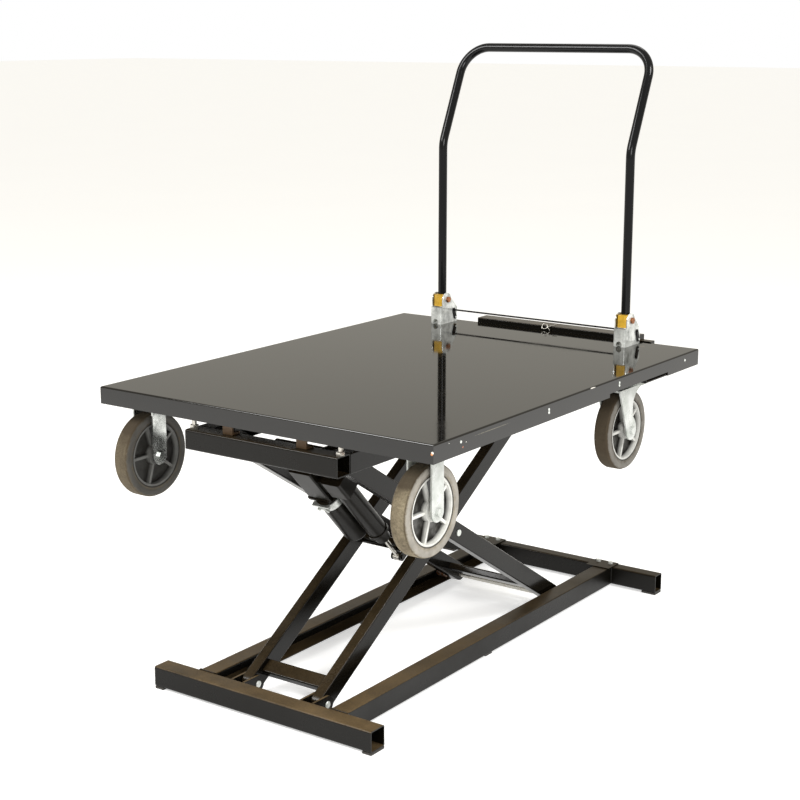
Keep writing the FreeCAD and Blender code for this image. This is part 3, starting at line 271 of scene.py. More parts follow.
def new_group(name, inputs, outputs):
    """A shader node group with float inputs and outputs; returns it with its two end nodes."""
    group = bpy.data.node_groups.new(name, "ShaderNodeTree")
    for label, default in inputs:
        socket = group.interface.new_socket(label, in_out="INPUT", socket_type="NodeSocketFloat")
        socket.default_value = default
    for label in outputs:
        group.interface.new_socket(label, in_out="OUTPUT", socket_type="NodeSocketFloat")
    return group, group.nodes.new("NodeGroupInput"), group.nodes.new("NodeGroupOutput")


def place(tree, group_name, **inputs):
    """Puts a node group in a material with its own values; underscores stand for spaces."""
    made = node(tree, "ShaderNodeGroup", node_tree=bpy.data.node_groups[group_name])
    for key, value in inputs.items():
        feed(tree, made.inputs[key.replace("_", " ")], value)
    return made.outputs


# ---- shared effects -----------------------------------------------------------------
def edge_wear_and_highlight_group():
    """Paint rubbed off along edges, in broken patches; the bright band is also a painted highlight
    along them.
    """
    group, given, result = new_group(
        "edge wear and highlight", [("Radius", 0.0015), ("Breakup", 40.0), ("Amount", 0.5)], ["Mask"])
    rounded = node(group, "ShaderNodeBevel", {"Radius": given.outputs["Radius"]}, samples=4)
    flat = node(group, "ShaderNodeNewGeometry")
    bent = vectors(group, "DOT_PRODUCT", rounded.outputs["Normal"], flat.outputs["Normal"])
    edge = ramp(group, bent, 0.985, 0.90)
    patches = noise(group, object_space(group), given.outputs["Breakup"], 6.0, 0.7)
    start = ramp(group, given.outputs["Amount"], 0.0, 1.0, 0.85, 0.35)
    broken = sums(group, "MULTIPLY", sums(group, "SUBTRACT", patches, start), 12.0, clamp=True)
    feed(group, result.inputs["Mask"], sums(group, "MULTIPLY", edge, broken))


def dust_group():
    """Dust that lies on upward faces, thicker in clouds, thin on walls."""
    group, given, result = new_group(
        "lying dust", [("Cover", 0.5), ("Walls", 0.1), ("Scale", 7.0)], ["Mask"])
    coords = node(group, "ShaderNodeTexCoord")
    up = part_of(group, coords.outputs["Normal"], "Z")
    facing = sums(group, "MAXIMUM", ramp(group, up, 0.25, 0.85), given.outputs["Walls"])
    coarse = clouds(group, coords.outputs["Object"], given.outputs["Scale"], 0.3, 0.7, 0.35, 1.0,
                    detail=5.0, rough=0.65)
    fine = clouds(group, coords.outputs["Object"], 220.0, 0.35, 0.65, -0.15, 0.15,
                  detail=2.0, rough=0.6)
    lying = sums(group, "MULTIPLY", facing, sums(group, "ADD", coarse, fine))
    feed(group, result.inputs["Mask"],
         sums(group, "MULTIPLY", lying, given.outputs["Cover"], clamp=True))


def smudge_group():
    """Large soft smears that break up a gloss, and fine specks in it."""
    group, given, result = new_group(
        "smudges", [("Scale", 5.0), ("Low", 0.1), ("High", 0.3)], ["Value"])
    coords = object_space(group)
    smears = clouds(group, coords, given.outputs["Scale"], 0.35, 0.7, detail=6.0, rough=0.6)
    specks = clouds(group, coords, 300.0, 0.62, 0.75, 0.0, 0.35, detail=1.0, rough=0.5)
    both = sums(group, "ADD", smears, specks, clamp=True)
    span = sums(group, "SUBTRACT", given.outputs["High"], given.outputs["Low"])
    feed(group, result.inputs["Value"],
         sums(group, "ADD", given.outputs["Low"], sums(group, "MULTIPLY", both, span)))


def peel_group():
    """Orange peel of sprayed enamel, as a height."""
    group, given, result = new_group("orange peel", [("Scale", 160.0), ("Depth", 0.5)], ["Height"])
    cells = noise(group, object_space(group), given.outputs["Scale"], 1.0, 0.4)
    feed(group, result.inputs["Height"], sums(group, "MULTIPLY", cells, given.outputs["Depth"]))


def rust_group():
    """Blooms and specks of rust."""
    group, given, result = new_group("rust bloom", [("Amount", 0.3), ("Scale", 30.0)], ["Mask"])
    coords = object_space(group)
    blooms = noise(group, coords, given.outputs["Scale"], 8.0, 0.75)
    start = ramp(group, given.outputs["Amount"], 0.0, 1.0, 0.75, 0.3)
    feed(group, result.inputs["Mask"],
         sums(group, "MULTIPLY", sums(group, "SUBTRACT", blooms, start), 9.0, clamp=True))


def chip_group():
    """Ragged chips in the paint round one place, given in metres on the object."""
    group, given, result = new_group(
        "paint chip", [("X", 0.0), ("Y", 0.0), ("Z", 0.0), ("Radius", 0.01), ("Stretch", 1.0)],
        ["Mask"])
    coords = object_space(group)
    middle = node(group, "ShaderNodeCombineXYZ", {axis: given.outputs[axis] for axis in "XYZ"})
    offset = vectors(group, "SUBTRACT", coords, middle.outputs["Vector"])
    x, y, z = (part_of(group, offset, axis) for axis in "XYZ")
    squeezed = node(group, "ShaderNodeCombineXYZ",
                    {"X": x, "Y": sums(group, "DIVIDE", y, given.outputs["Stretch"]), "Z": z})
    away = vectors(group, "LENGTH", squeezed.outputs["Vector"])
    uneven = sums(group, "SUBTRACT", noise(group, coords, 260.0, 4.0, 0.7), 0.5)
    reach = sums(group, "ADD", 1.0, sums(group, "MULTIPLY", uneven, 1.6))
    near = sums(group, "SUBTRACT", reach, sums(group, "DIVIDE", away, given.outputs["Radius"]))
    feed(group, result.inputs["Mask"], sums(group, "MULTIPLY", near, 6.0, clamp=True))


def shared_effects():
    """Builds every shared effect once."""
    chip_group()
    edge_wear_and_highlight_group()
    dust_group()
    smudge_group()
    peel_group()
    rust_group()


def bump(tree, shader, height, strength, distance):
    """Feeds a height to a shader's normal through a bump."""
    made = node(tree, "ShaderNodeBump",
                {"Height": height, "Strength": strength, "Distance": distance})
    tree.links.new(made.outputs["Normal"], shader.inputs["Normal"])


def smudged(tree, shader, scale, low, high):
    """Feeds smudges to a shader's roughness."""
    smears = place(tree, "smudges", Scale=scale, Low=low, High=high)
    feed(tree, shader.inputs["Roughness"], smears["Value"])


# ---- materials ----------------------------------------------------------------------
def enamel(name, base, dust_cover, walls=0.004, gloss=(0.13, 0.34), wear=0.35, peel=0.35,
           chips=(), rust=0.0, paler_front=False, specular=0.2):
    """Sprayed enamel under dust, rubbed through at its edges in a bright band that is also a
    painted highlight, chipped and in places rusty.
    """
    finish = bpy.context.scene.lift_table_finish
    material, tree, shader = new_tree(name)
    cover = dust_cover
    # Where asked, the cover falls from the front of the frames to their rear, so their upper faces
    # go darker towards the rear
    if paler_front:
        along = part_of(tree, object_space(tree), "Y")
        cover = ramp(tree, along, LOW.y, HIGH.y * 0.7, dust_cover, dust_cover * 0.22)
    dust = place(tree, "lying dust", Cover=cover, Walls=walls)["Mask"]
    worn = place(tree, "edge wear and highlight", Radius=finish.edge_radius, Amount=wear)["Mask"]
    paint = mix(tree, clouds(tree, object_space(tree), 2.4, 0.3, 0.7), base, shade_of(base, 1.7))
    surface = mix(tree, dust, paint, tuple(finish.dust))
    if rust:
        blooms = place(tree, "rust bloom", Amount=rust, Scale=16.0)["Mask"]
        surface = mix(tree, sums(tree, "MULTIPLY", blooms, 0.7), surface,
                      shade_of(finish.rust, 0.5))
    # Rubbed edges: bare steel along the edges, which also paints a highlight line along them
    surface = mix(tree, worn, surface, shade_of(finish.steel, 0.8))
    for (x, y, z), radius, stretch, colour in chips:
        chip = place(tree, "paint chip", X=x, Y=y, Z=z, Radius=radius, Stretch=stretch)
        surface = mix(tree, chip["Mask"], surface, colour)
    feed(tree, shader.inputs["Base Color"], surface)
    smooth = place(tree, "smudges", Low=gloss[0], High=gloss[1])["Value"]
    feed(tree, shader.inputs["Roughness"],
         sums(tree, "ADD", smooth, sums(tree, "MULTIPLY", dust, 0.45), clamp=True))
    feed(tree, shader.inputs["Metallic"], sums(tree, "MULTIPLY", worn, 0.6))
    shader.inputs["Specular IOR Level"].default_value = specular
    bump(tree, shader, place(tree, "orange peel", Depth=peel)["Height"], 0.12, 0.0006)
    return material


def zinc_plate(name, metal=0.45, gloss=(0.28, 0.46), dull=0.72, tone=1.0):
    """Bright zinc with cloudy passivation and dulled patches."""
    finish = bpy.context.scene.lift_table_finish
    material, tree, shader = new_tree(name)
    coords = object_space(tree)
    cloudy = clouds(tree, coords, 24.0, 0.38, 0.72, detail=5.0, rough=0.65)
    bright = shade_of(finish.zinc, tone)
    greenish = [a * dull * b for a, b in zip(bright, (0.95, 1.0, 0.93))]
    stained = mix(tree, cloudy, bright, greenish)
    rust = place(tree, "rust bloom", Amount=0.08, Scale=60.0)["Mask"]
    feed(tree, shader.inputs["Base Color"], mix(tree, rust, stained, tuple(finish.rust)))
    feed(tree, shader.inputs["Metallic"], ramp(tree, rust, 0.0, 1.0, metal, 0.1))
    smudged(tree, shader, 18.0, *gloss)
    bump(tree, shader, noise(tree, coords, 420.0, 2.0), 0.08, 0.0003)
    return material


def drawn_steel(name, rust_amount, streak=(1.0, 90.0, 90.0)):
    """Bare drawn steel, streaked along its length, with some rust."""
    finish = bpy.context.scene.lift_table_finish
    material, tree, shader = new_tree(name)
    coords = object_space(tree)
    stretched = node(tree, "ShaderNodeMapping", {"Vector": coords, "Scale": streak})
    lines = noise(tree, stretched.outputs["Vector"], 6.0, 4.0)
    rust = place(tree, "rust bloom", Amount=rust_amount, Scale=42.0)["Mask"]
    steel = mix(tree, lines, tuple(finish.steel), shade_of(finish.steel, 0.7))
    rusty = mix(tree, noise(tree, coords, 90.0), tuple(finish.rust),
                shade_of(finish.rust, 0.45))
    feed(tree, shader.inputs["Base Color"], mix(tree, rust, steel, rusty))
    feed(tree, shader.inputs["Metallic"], ramp(tree, rust, 0.0, 1.0, 1.0, 0.05))
    feed(tree, shader.inputs["Roughness"], ramp(tree, rust, 0.0, 1.0, 0.26, 0.8))
    bump(tree, shader, sums(tree, "ADD", lines, rust), 0.15, 0.0004)
    return material


def moulded(name, base, gloss=(0.3, 0.5), grime=0.25):
    """Moulded plastic with dirt over its upward faces and, more thinly, over its walls."""
    finish = bpy.context.scene.lift_table_finish
    material, tree, shader = new_tree(name)
    coords = object_space(tree)
    dirt = place(tree, "lying dust", Cover=grime, Walls=0.5, Scale=22.0)["Mask"]
    shade = mix(tree, clouds(tree, coords, 14.0, 0.3, 0.7), base, shade_of(base, 0.82))
    feed(tree, shader.inputs["Base Color"], mix(tree, dirt, shade, shade_of(finish.dust, 0.35)))
    smudged(tree, shader, 20.0, *gloss)
    bump(tree, shader, noise(tree, coords, 600.0, 2.0), 0.1, 0.0002)
    return material


def grooved_socket(finish):
    """Yellow moulding of the handle's sockets, near black in the groove beside each tube."""
    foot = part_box("handle_sockets")[1].x - TUBE_INSET
    material, tree, shader = new_tree("socket yellow")
    coords = object_space(tree)
    across = part_of(tree, coords, "X")
    right = sums(tree, "SUBTRACT", across, foot)
    left = sums(tree, "ADD", across, foot)
    offset = mix(tree, sums(tree, "GREATER_THAN", across, 0.0), left, right)
    groove = sums(tree, "MULTIPLY", sums(tree, "GREATER_THAN", offset, SOCKET_GROOVE[0]),
                  sums(tree, "LESS_THAN", offset, SOCKET_GROOVE[1]))
    tone = mix(tree, clouds(tree, coords, 60.0, 0.35, 0.7, detail=4.0), tuple(finish.yellow),
               shade_of(finish.yellow, 0.75))
    dirt = place(tree, "lying dust", Cover=0.2, Walls=0.3, Scale=40.0)["Mask"]
    dirty = mix(tree, dirt, tone, tuple(finish.grime))
    feed(tree, shader.inputs["Base Color"], mix(tree, groove, dirty, (0.008, 0.007, 0.006)))
    smudged(tree, shader, 20.0, 0.28, 0.45)
    bump(tree, shader, noise(tree, coords, 600.0, 2.0), 0.1, 0.0002)
    return material


def from_middle(tree, wheel_x):
    """Distance of a surface point from a wheel's middle plane, along its axle."""
    across = part_of(tree, object_space(tree), "X")
    return sums(tree, "ABSOLUTE", sums(tree, "SUBTRACT", across, wheel_x))


def wheel_centre(name, pale, web_painted_shade, wheel_x):
    """Moulded wheel centre, pale on its proud ribs and rim, with painted shade on the sunk web
    between them.
    """
    finish = bpy.context.scene.lift_table_finish
    material, tree, shader = new_tree(name)
    coords = object_space(tree)
    # Painted shade: the sunk web between the ribs is darkened towards the grime colour, as shade
    # falls there
    sunk = ramp(tree, from_middle(tree, wheel_x), *WEB_TO_RIB, 1.0, 0.0)
    patchy = clouds(tree, coords, 20.0, 0.3, 0.7, 0.85, 1.15, detail=5.0, rough=0.65)
    grime = sums(tree, "MULTIPLY", sums(tree, "MULTIPLY", sunk, patchy), web_painted_shade, clamp=True)
    shade = mix(tree, clouds(tree, coords, 50.0, 0.35, 0.7, detail=4.0), pale,
                shade_of(pale, 0.78))
    feed(tree, shader.inputs["Base Color"], mix(tree, grime, shade, tuple(finish.grime)))
    smudged(tree, shader, 20.0, 0.28, 0.5)
    bump(tree, shader, noise(tree, coords, 600.0, 2.0), 0.1, 0.0002)
    return material


def rubber(name, side_tone, tread_dust, centre):
    """Solid tyre: brown tread under pale dust, chalky side walls and scuffed shoulders."""
    finish = bpy.context.scene.lift_table_finish
    material, tree, shader = new_tree(name)
    coords = object_space(tree)
    out = from_middle(tree, centre.x)
    radial = vectors(tree, "SUBTRACT", coords, centre)
    radial = vectors(tree, "MULTIPLY", radial, (0.0, 1.0, 1.0))
    seam = ramp(tree, vectors(tree, "LENGTH", radial), *TYRE_SEAM, 1.0, 0.0)
    uneven = sums(tree, "SUBTRACT", noise(tree, coords, 90.0, 5.0, 0.7), 0.5)
    ragged = sums(tree, "MULTIPLY", uneven, 0.006)
    side = ramp(tree, sums(tree, "ADD", out, ragged), *TREAD_TO_SIDE)

    blotches = clouds(tree, coords, 15.0, 0.36, 0.58, 0.35, 1.0, detail=6.0, rough=0.6)
    scuffs = clouds(tree, coords, 190.0, 0.40, 0.60, 0.55, 1.0, detail=5.0, rough=0.7)
    dusty = sums(tree, "MULTIPLY", sums(tree, "MULTIPLY", blotches, scuffs), tread_dust)
    height = sums(tree, "ADD", part_of(tree, radial, "Z"), sums(tree, "MULTIPLY", ragged, 2.0))
    # Painted shade: over the top of the wheel, under the fork, the tread loses most of its pale
    # dust
    shaded_top = ramp(tree, height, *TREAD_SHADE_FROM, 1.0, 0.12)
    tread = mix(tree, sums(tree, "MULTIPLY", dusty, shaded_top), tuple(finish.tyre),
                tuple(finish.tyre_dust))

    chalk = clouds(tree, coords, 34.0, 0.35, 0.68, detail=5.0)
    wall = mix(tree, chalk, side_tone, shade_of(side_tone, 0.72))
    shoulder = sums(tree, "MULTIPLY", ramp(tree, out, *SHOULDER_RISE),
                    ramp(tree, out, *SHOULDER_FALL, 1.0, 0.0))
    stained = sums(tree, "MULTIPLY", shoulder,
                   clouds(tree, coords, 42.0, 0.38, 0.50, detail=6.0, rough=0.7))
    rolled = mix(tree, sums(tree, "MULTIPLY", stained, 0.8), mix(tree, side, tread, wall),
                 tuple(finish.tyre))
    feed(tree, shader.inputs["Base Color"],
         mix(tree, sums(tree, "MULTIPLY", seam, 0.85), rolled, tuple(finish.grime)))
    feed(tree, shader.inputs["Roughness"], ramp(tree, side, 0.0, 1.0, 0.9, 0.62))
    bump(tree, shader, noise(tree, coords, 260.0, 6.0, 0.7), 0.35, 0.0008)
    return material


def paint_nodes(material, *names):
    """Puts one material in every slot of each named CAD piece."""
    for name in names:
        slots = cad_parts[name].data.materials
        if len(slots) == 0:
            slots.append(material)
        for index in range(len(slots)):
            slots[index] = material


# ---- mesh helpers -------------------------------------------------------------------
def finish_piece(mesh, name, body, material):
    """Turns mesh data into a smooth-shaded piece that rides on a body."""
    piece = bpy.data.objects.new(name, mesh)
    bpy.context.scene.collection.objects.link(piece)
    mesh.materials.append(material)
    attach(piece, body)
    return piece


def mesh_from(bm, name):
    """Mesh data from a bmesh, with normals made to point outwards."""
    bmesh.ops.recalc_face_normals(bm, faces=bm.faces)
    for face in bm.faces:
        face.smooth = True
    mesh = bpy.data.meshes.new(name)
    bm.to_mesh(mesh)
    bm.free()
    return mesh


def swept_wire(name, lines, radius, body, material):
    """Round wire along one or more smooth open lines, as one mesh piece."""
    curve = bpy.data.curves.new(name, "CURVE")
    curve.dimensions = "3D"
    curve.bevel_depth = radius
    curve.bevel_resolution = 4
    curve.resolution_u = 10
    curve.use_fill_caps = True
    for points in lines:
        spline = curve.splines.new("NURBS")
        spline.points.add(len(points) - 1)
        for point, spot in zip(spline.points, points):
            point.co = (*spot, 1.0)
        spline.order_u = 3
        spline.use_endpoint_u = True
    holder = bpy.data.objects.new(name, curve)
    bpy.context.scene.collection.objects.link(holder)
    bpy.context.view_layer.update()
    solved = holder.evaluated_get(bpy.context.evaluated_depsgraph_get())
    mesh = bpy.data.meshes.new_from_object(solved)
    bpy.data.objects.remove(holder)
    for face in mesh.polygons:
        face.use_smooth = True
    mesh.materials.clear()
    return finish_piece(mesh, name, body, material)


def turned(bm, profile, matrix, steps):
    """Adds a body of revolution about local Z from (radius, height) points."""
    rings = []
    for radius, height in profile:
        if radius < 1e-6:
            rings.append([bm.verts.new(matrix @ Vector((0, 0, height)))])
            continue
        around = [math.tau * k / steps for k in range(steps)]
        rings.append([bm.verts.new(matrix @ Vector((radius * math.cos(angle),
                                                    radius * math.sin(angle), height)))
                      for angle in around])
    for lower, upper in zip(rings, rings[1:]):
        for k in range(steps):
            after = (k + 1) % steps
            corners = [lower[k % len(lower)], lower[after % len(lower)],
                       upper[after % len(upper)], upper[k % len(upper)]]
            distinct = list(dict.fromkeys(corners))
            if len(distinct) > 2:
                bm.faces.new(distinct)


# ---- pieces -------------------------------------------------------------------------
class LiftTableOperator:
    """What every operator of this file shares."""
    bl_options = {"REGISTER", "UNDO"}


class LIFTTABLE_OT_effects(LiftTableOperator, bpy.types.Operator):
    """Builds the rubbed-edge and painted edge highlight, dust, gloss and rust effects that the
    materials share
    """
    bl_idname = "lifttable.effects"
    bl_label = "Shared Effects"

    def execute(self, context):
        shared_effects()
        return {"FINISHED"}


class LIFTTABLE_OT_frames(LiftTableOperator, bpy.types.Operator):
    """Finishes the base frame, the lift frame and the arms"""
    bl_idname = "lifttable.frames"
    bl_label = "Frames and Arms"

    def execute(self, context):
        finish = context.scene.lift_table_finish
        base = tuple(finish.enamel)
        frame_paint = enamel("frame enamel", base, finish.dust_cover, gloss=(0.18, 0.42),
                             rust=0.16, paler_front=True)
        arm_paint = enamel("arm enamel", base, finish.dust_cover * 0.25, gloss=(0.09, 0.24))
        under_paint = enamel("lift frame enamel", base, finish.dust_cover * 0.2)
        paint_nodes(frame_paint, "base_front_tube", "base_rear_tube", "base_rail_right",
                    "base_rail_left", "base_lap_plates", "base_pivot_lugs")
        paint_nodes(arm_paint, "inner_arm_right", "inner_arm_left", "inner_cross_bars",
                    "outer_arm_right", "outer_arm_left", "outer_cross_bars",
                    "actuator_lower_mount", "actuator_upper_mount", "deck_rear_bar")
        paint_nodes(under_paint, "lift_frame_front_tube", "lift_frame_channels",
                    "lift_frame_rear_tube", "deck_pivot_lugs", "deck_cross_channels")
        paint_nodes(zinc_plate("pin zinc"), "base_bolts", "base_pivot_pins", "centre_pins",
                    "deck_pivot_pins")
        paint_nodes(drawn_steel("stud steel", 0.45), "lift_frame_studs")
        paint_nodes(drawn_steel("axle steel", 0.35), "upper_roller_axle", "lower_roller_axle")
        paint_nodes(drawn_steel("roller steel", 0.75), "upper_roller_right", "upper_roller_left",
                    "lower_roller_right", "lower_roller_left")
        paint_nodes(moulded("tan packing", tuple(finish.tan), (0.5, 0.7)), "lift_frame_cleats")
        paint_nodes(moulded("pad rubber", (0.02, 0.019, 0.018), (0.6, 0.8)), "base_pads")
        return {"FINISHED"}


class LIFTTABLE_OT_deck(LiftTableOperator, bpy.types.Operator):
    """Finishes the deck, with chips at its worn corner"""
    bl_idname = "lifttable.deck"
    bl_label = "Deck"

    def execute(self, context):
        finish = context.scene.lift_table_finish
        side, front = DECK_HIGH.x, DECK_LOW.y
        white, orange, reddish = (0.75, 0.72, 0.66), (0.55, 0.22, 0.07), (0.30, 0.10, 0.05)
        smear, scratch = (0.05, 0.036, 0.02), (0.10, 0.09, 0.065)
        foot_left, foot_right = (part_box("handle_bracket_" + end)[1] for end in ("left", "right"))
        # Each chip: its place, its radius, its stretch along the deck and its colour
        chips = [((side - 0.004, front, DECK_HIGH.z - 0.021), 0.0035, 1.0, orange),
                 ((side - 0.002, front, DECK_HIGH.z - 0.018), 0.003, 1.0, white),
                 ((side, front + 0.115, DECK_HIGH.z - 0.029), 0.0025, 1.0, reddish),
                 ((side, front + 0.128, DECK_HIGH.z - 0.020), 0.0014, 1.0, white),
                 ((side, front + 0.06, DECK_HIGH.z - 0.009), 0.0010, 1.0, white),
                 ((foot_left.x + 0.03, foot_left.y - 0.05, DECK_HIGH.z), 0.010, 1.0, smear),
                 ((foot_right.x + 0.03, foot_right.y - 0.04, DECK_HIGH.z), 0.008, 1.0, smear),
                 ((side, front + 0.235, DECK_HIGH.z - 0.013), 0.0009, 80.0, scratch),
                 ((side, front + 0.70, DECK_HIGH.z - 0.002), 0.0016, 8.0, white)]
        paint_nodes(enamel("deck enamel", tuple(finish.enamel), 0.004, walls=0.0,
                           gloss=(0.03, 0.09), wear=0.45, peel=0.10, chips=chips, specular=0.5),
                    "deck_panel")
        return {"FINISHED"}


class LIFTTABLE_OT_actuator(LiftTableOperator, bpy.types.Operator):
    """Finishes the linear actuator"""
    bl_idname = "lifttable.actuator"
    bl_label = "Actuator"

    def execute(self, context):
        paint_nodes(enamel("actuator enamel", (0.004, 0.0034, 0.0024), 0.1, walls=0.01,
                           gloss=(0.26, 0.42), wear=0.2), "actuator_head", "actuator_tube",
                    "actuator_motor", "actuator_cover")
        paint_nodes(drawn_steel("push rod steel", 0.05), "actuator_rod")
        paint_nodes(zinc_plate("strap zinc", metal=0.75, dull=0.25), "actuator_fittings")
        return {"FINISHED"}


class LIFTTABLE_OT_castors(LiftTableOperator, bpy.types.Operator):
    """Finishes forks, wheel centres and tyres"""
    bl_idname = "lifttable.castors"
    bl_label = "Castors"

    def execute(self, context):
        finish = context.scene.lift_table_finish
        paint_nodes(zinc_plate("castor zinc", metal=0.2, gloss=(0.22, 0.4), dull=0.6, tone=0.76),
                    "front_castor_fork_right", "rear_castor_fork_right", "swivel_plates")
        # The left forks get their own copy of the zinc, more metallic and darker in patches than
        # the right ones
        paint_nodes(zinc_plate("left castor zinc", metal=0.9, gloss=(0.08, 0.3), dull=0.2,
                               tone=0.9), "front_castor_fork_left", "rear_castor_fork_left")
        # Painted light and shade: the same wheel-centre grey and sidewall rubber are made brighter
        # on some wheels and darker on others by their shares in WHEELS
        for wheel, hub_painted_light, side_painted_light, web_painted_shade, tread_dust in WHEELS:
            hub_node, tyre_node = wheel.format("wheel_hub"), wheel.format("tyre")
            low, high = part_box(tyre_node)
            centre = (low + high) / 2
            paint_nodes(wheel_centre(hub_node + " grey", shade_of(finish.hub, hub_painted_light),
                                     web_painted_shade, centre.x), hub_node)
            paint_nodes(rubber(tyre_node + " rubber", shade_of(finish.sidewall, side_painted_light),
                               tread_dust, centre), tyre_node)
        return {"FINISHED"}


class LIFTTABLE_OT_handle(LiftTableOperator, bpy.types.Operator):
    """Finishes the push handle, its sockets, brackets and latch"""
    bl_idname = "lifttable.handle"
    bl_label = "Push Handle"

    def execute(self, context):
        finish = context.scene.lift_table_finish
        paint_nodes(enamel("handle enamel", tuple(finish.handle_enamel), 0.0, walls=0.0,
                           gloss=(0.08, 0.2), wear=0.1, peel=0.2), "push_handle")
        paint_nodes(grooved_socket(finish), "handle_sockets")
        paint_nodes(zinc_plate("bracket zinc", metal=0.35, gloss=(0.08, 0.25), dull=0.12,
                               tone=1.2), "handle_bracket_right", "handle_bracket_left",
                    "bracket_fasteners")
        paint_nodes(enamel("latch enamel", tuple(finish.handle_enamel), 0.0, gloss=(0.4, 0.5)),
                    "handle_latch")
        material, tree, shader = new_tree("bolt copper")
        tone = clouds(tree, object_space(tree), 120.0, 0.3, 0.7)
        feed(tree, shader.inputs["Base Color"],
             mix(tree, tone, tuple(finish.copper), shade_of(finish.copper, 0.6)))
        feed(tree, shader.inputs["Roughness"], ramp(tree, tone, 0.0, 1.0, 0.25, 0.45))
        shader.inputs["Metallic"].default_value = 1.0
        paint_nodes(material, "handle_pivot_bolts")
        return {"FINISHED"}


def pale_floor(stage):
    """Plain pale floor, the same all over but for a faint cloud in its tone."""
    material, tree, shader = new_tree("pale floor")
    tone = clouds(tree, object_space(tree), 0.8, 0.3, 0.7, 0.98, 1.0)
    feed(tree, shader.inputs["Base Color"], mix(tree, tone, BLACK, tuple(stage.floor)))
    shader.inputs["Emission Color"].default_value = (*WHITE, 1.0)
    shader.inputs["Emission Strength"].default_value = stage.glow
    shader.inputs["Roughness"].default_value = 0.9
    return material


def soft_room(stage):
    """World: one even soft tone all round, with a white backdrop behind the floor's far edge."""
    world = bpy.data.worlds.new("soft room")
    world.use_nodes = True
    tree = world.node_tree
    tree.nodes.clear()
    backdrop = node(tree, "ShaderNodeLightPath").outputs["Is Camera Ray"]
    colour = mix(tree, backdrop, tuple(stage.room), WHITE)
    background = node(tree, "ShaderNodeBackground", {"Color": colour, "Strength": 1.0})
    output = node(tree, "ShaderNodeOutputWorld")
    tree.links.new(background.outputs["Background"], output.inputs["Surface"])
    return world


class LIFTTABLE_OT_rivets(LiftTableOperator, bpy.types.Operator):
    """Domed rivets along both side flanges of the deck"""
    bl_idname = "lifttable.rivets"
    bl_label = "Flange Rivets"

    def execute(self, context):
        sizes = context.scene.lift_table_fittings
        r, h = sizes.rivet_radius, sizes.rivet_height
        dome = [(r, -h), (r, 0.15 * h), (0.86 * r, 0.6 * h), (0.55 * r, 0.92 * h), (0.2 * r, h),
                (0.0, h)]
        bm = bmesh.new()
        for side, turn in ((DECK_HIGH.x, 90), (DECK_LOW.x, -90)):
            for along, down in RIVETS:
                spot = Matrix.Translation((side, DECK_LOW.y + along, DECK_HIGH.z - down))
                turned(bm, dome, spot @ Matrix.Rotation(math.radians(turn), 4, "Y"), RIVET_SIDES)
        finish_piece(mesh_from(bm, "flange_rivets"), "flange_rivets", "deck",
                     zinc_plate("rivet zinc", metal=0.3))
        return {"FINISHED"}


class LIFTTABLE_OT_clip(LiftTableOperator, bpy.types.Operator):
    """Bent wire clip over the front edge of the rear bar"""
    bl_idname = "lifttable.clip"
    bl_label = "Wire Clip"

    def execute(self, context):
        low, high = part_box("deck_rear_bar")
        path = [(x, low.y + y, high.z + z) for x, y, z in CLIP_LINE]
        swept_wire("bar_clip", [path], context.scene.lift_table_fittings.clip_wire, "deck",
                   drawn_steel("clip steel", 0.1))
        return {"FINISHED"}


class LIFTTABLE_OT_welds(LiftTableOperator, bpy.types.Operator):
    """Weld beads where the base rails meet the cross tubes"""
    bl_idname = "lifttable.welds"
    bl_label = "Weld Beads"

    def execute(self, context):
        finish = context.scene.lift_table_finish
        radius = context.scene.lift_table_fittings.bead_radius
        beads = []
        for rail in ("base_rail_right", "base_rail_left"):
            low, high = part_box(rail)
            inner, outer = sorted((low.x, high.x), key=abs)
            for y, top in ((low.y, True), (high.y, False)):
                corners = [(outer, low.z + BEAD_START), (outer, high.z)]
                if top:
                    corners.append((inner, high.z))
                beads.append(self.wavy(corners, y, radius))
        swept_wire("base_weld_beads", beads, radius, "base",
                   enamel("weld enamel", tuple(finish.enamel), 0.3, gloss=(0.2, 0.4)))
        return {"FINISHED"}

    def wavy(self, corners, y, radius):
        """Points along straight runs between corners, stepping in and out as a bead ripples."""
        points = []
        for (xa, za), (xb, zb) in zip(corners, corners[1:]):
            for k in range(BEAD_STEPS + 1):
                share = k / BEAD_STEPS
                ripple = 0.35 * radius * (1 if k % 2 else -1)
                points.append((xa + (xb - xa) * share + ripple * 0.5, y + ripple,
                               za + (zb - za) * share + ripple * 0.5))
        return points


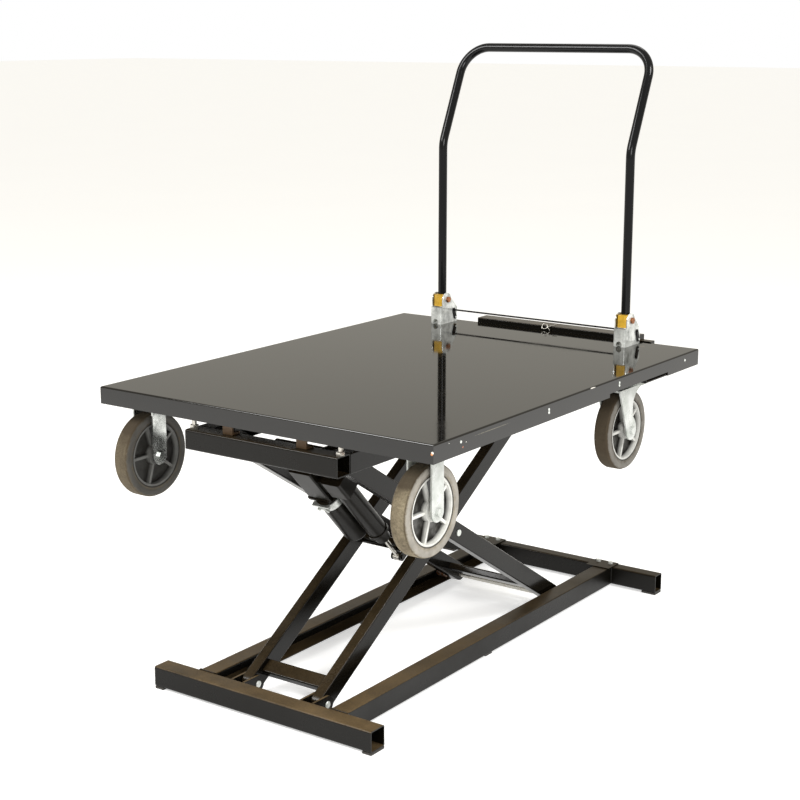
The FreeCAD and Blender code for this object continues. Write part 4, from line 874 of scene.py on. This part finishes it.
class LIFTTABLE_OT_stage(LiftTableOperator, bpy.types.Operator):
    """Sets the floor, the soft lights and the camera"""
    bl_idname = "lifttable.stage"
    bl_label = "Stage"

    def execute(self, context):
        stage = context.scene.lift_table_stage
        bm = bmesh.new()
        bm.faces.new([bm.verts.new((x * FLOOR_REACH, y * FLOOR_REACH, LOW.z))
                      for x, y in ((-1, -1), (1, -1), (1, 1), (-1, 1))])
        mesh = mesh_from(bm, "floor")
        mesh.materials.append(pale_floor(stage))
        floor = bpy.data.objects.new("floor", mesh)
        context.scene.collection.objects.link(floor)
        floor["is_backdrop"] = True

        context.scene.world = soft_room(stage)
        for name, offset, size, power in (("key", (-2.4, -3.4, 3.2), 2.0, stage.key_power),
                                          ("side", (3.3, 0.3, 3.2), 1.2, stage.fill_power),
                                          ("front", (3.6, -3.2, 1.9), 1.6, stage.front_power),
                                          ("top", (-0.6, 2.2, 3.4), 1.8, stage.top_power)):
            data = bpy.data.lights.new(name + " light", "AREA")
            data.size = size
            data.energy = power
            light = bpy.data.objects.new(name + "_light", data)
            light.location = CENTRE + Vector(offset)
            light.rotation_euler = (-Vector(offset)).to_track_quat("-Z", "Y").to_euler()
            context.scene.collection.objects.link(light)

        back = Vector((math.sin(stage.turn) * math.cos(stage.tilt),
                       -math.cos(stage.turn) * math.cos(stage.tilt), math.sin(stage.tilt)))
        data = bpy.data.cameras.new("camera")
        data.sensor_width = SENSOR_WIDTH
        data.lens = stage.lens
        data.clip_end = CAMERA_REACH
        camera = bpy.data.objects.new("camera", data)
        camera.location = CENTRE + Vector(stage.aim) + back * stage.distance
        camera.rotation_euler = (-back).to_track_quat("-Z", "Y").to_euler()
        context.scene.collection.objects.link(camera)
        context.scene.camera = camera
        context.scene.view_settings.view_transform = "Standard"
        return {"FINISHED"}


class LIFTTABLE_PT_sidebar(bpy.types.Panel):
    """Lists the table's operators and settings"""
    bl_label = "Lift Table"
    bl_idname = "LIFTTABLE_PT_sidebar"
    bl_space_type = "VIEW_3D"
    bl_region_type = "UI"
    bl_category = "Lift Table"

    def draw(self, context):
        for operator in OPERATORS:
            self.layout.operator(operator.bl_idname)
        for group in (context.scene.lift_table_finish, context.scene.lift_table_fittings,
                      context.scene.lift_table_stage):
            box = self.layout.box()
            for prop in group.bl_rna.properties:
                if prop.identifier not in ("rna_type", "name"):
                    box.prop(group, prop.identifier)


GROUPS = (LiftTableFinish, LiftTableFittings, LiftTableStage)
OPERATORS = (LIFTTABLE_OT_stage, LIFTTABLE_OT_effects, LIFTTABLE_OT_frames, LIFTTABLE_OT_deck,
             LIFTTABLE_OT_actuator, LIFTTABLE_OT_castors, LIFTTABLE_OT_handle, LIFTTABLE_OT_rivets,
             LIFTTABLE_OT_clip, LIFTTABLE_OT_welds)


def register():
    """Registers the settings, operators and panel."""
    for item in GROUPS + OPERATORS + (LIFTTABLE_PT_sidebar,):
        bpy.utils.register_class(item)
    bpy.types.Scene.lift_table_finish = PointerProperty(type=LiftTableFinish)
    bpy.types.Scene.lift_table_fittings = PointerProperty(type=LiftTableFittings)
    bpy.types.Scene.lift_table_stage = PointerProperty(type=LiftTableStage)


def unregister():
    """Takes the settings, operators and panel away."""
    del bpy.types.Scene.lift_table_stage
    del bpy.types.Scene.lift_table_fittings
    del bpy.types.Scene.lift_table_finish
    for item in reversed(GROUPS + OPERATORS + (LIFTTABLE_PT_sidebar,)):
        bpy.utils.unregister_class(item)


def main():
    """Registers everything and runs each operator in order."""
    register()
    for operator in OPERATORS:
        group, name = operator.bl_idname.split(".")
        getattr(getattr(bpy.ops, group), name)()


if __name__ == "__main__":
    main()
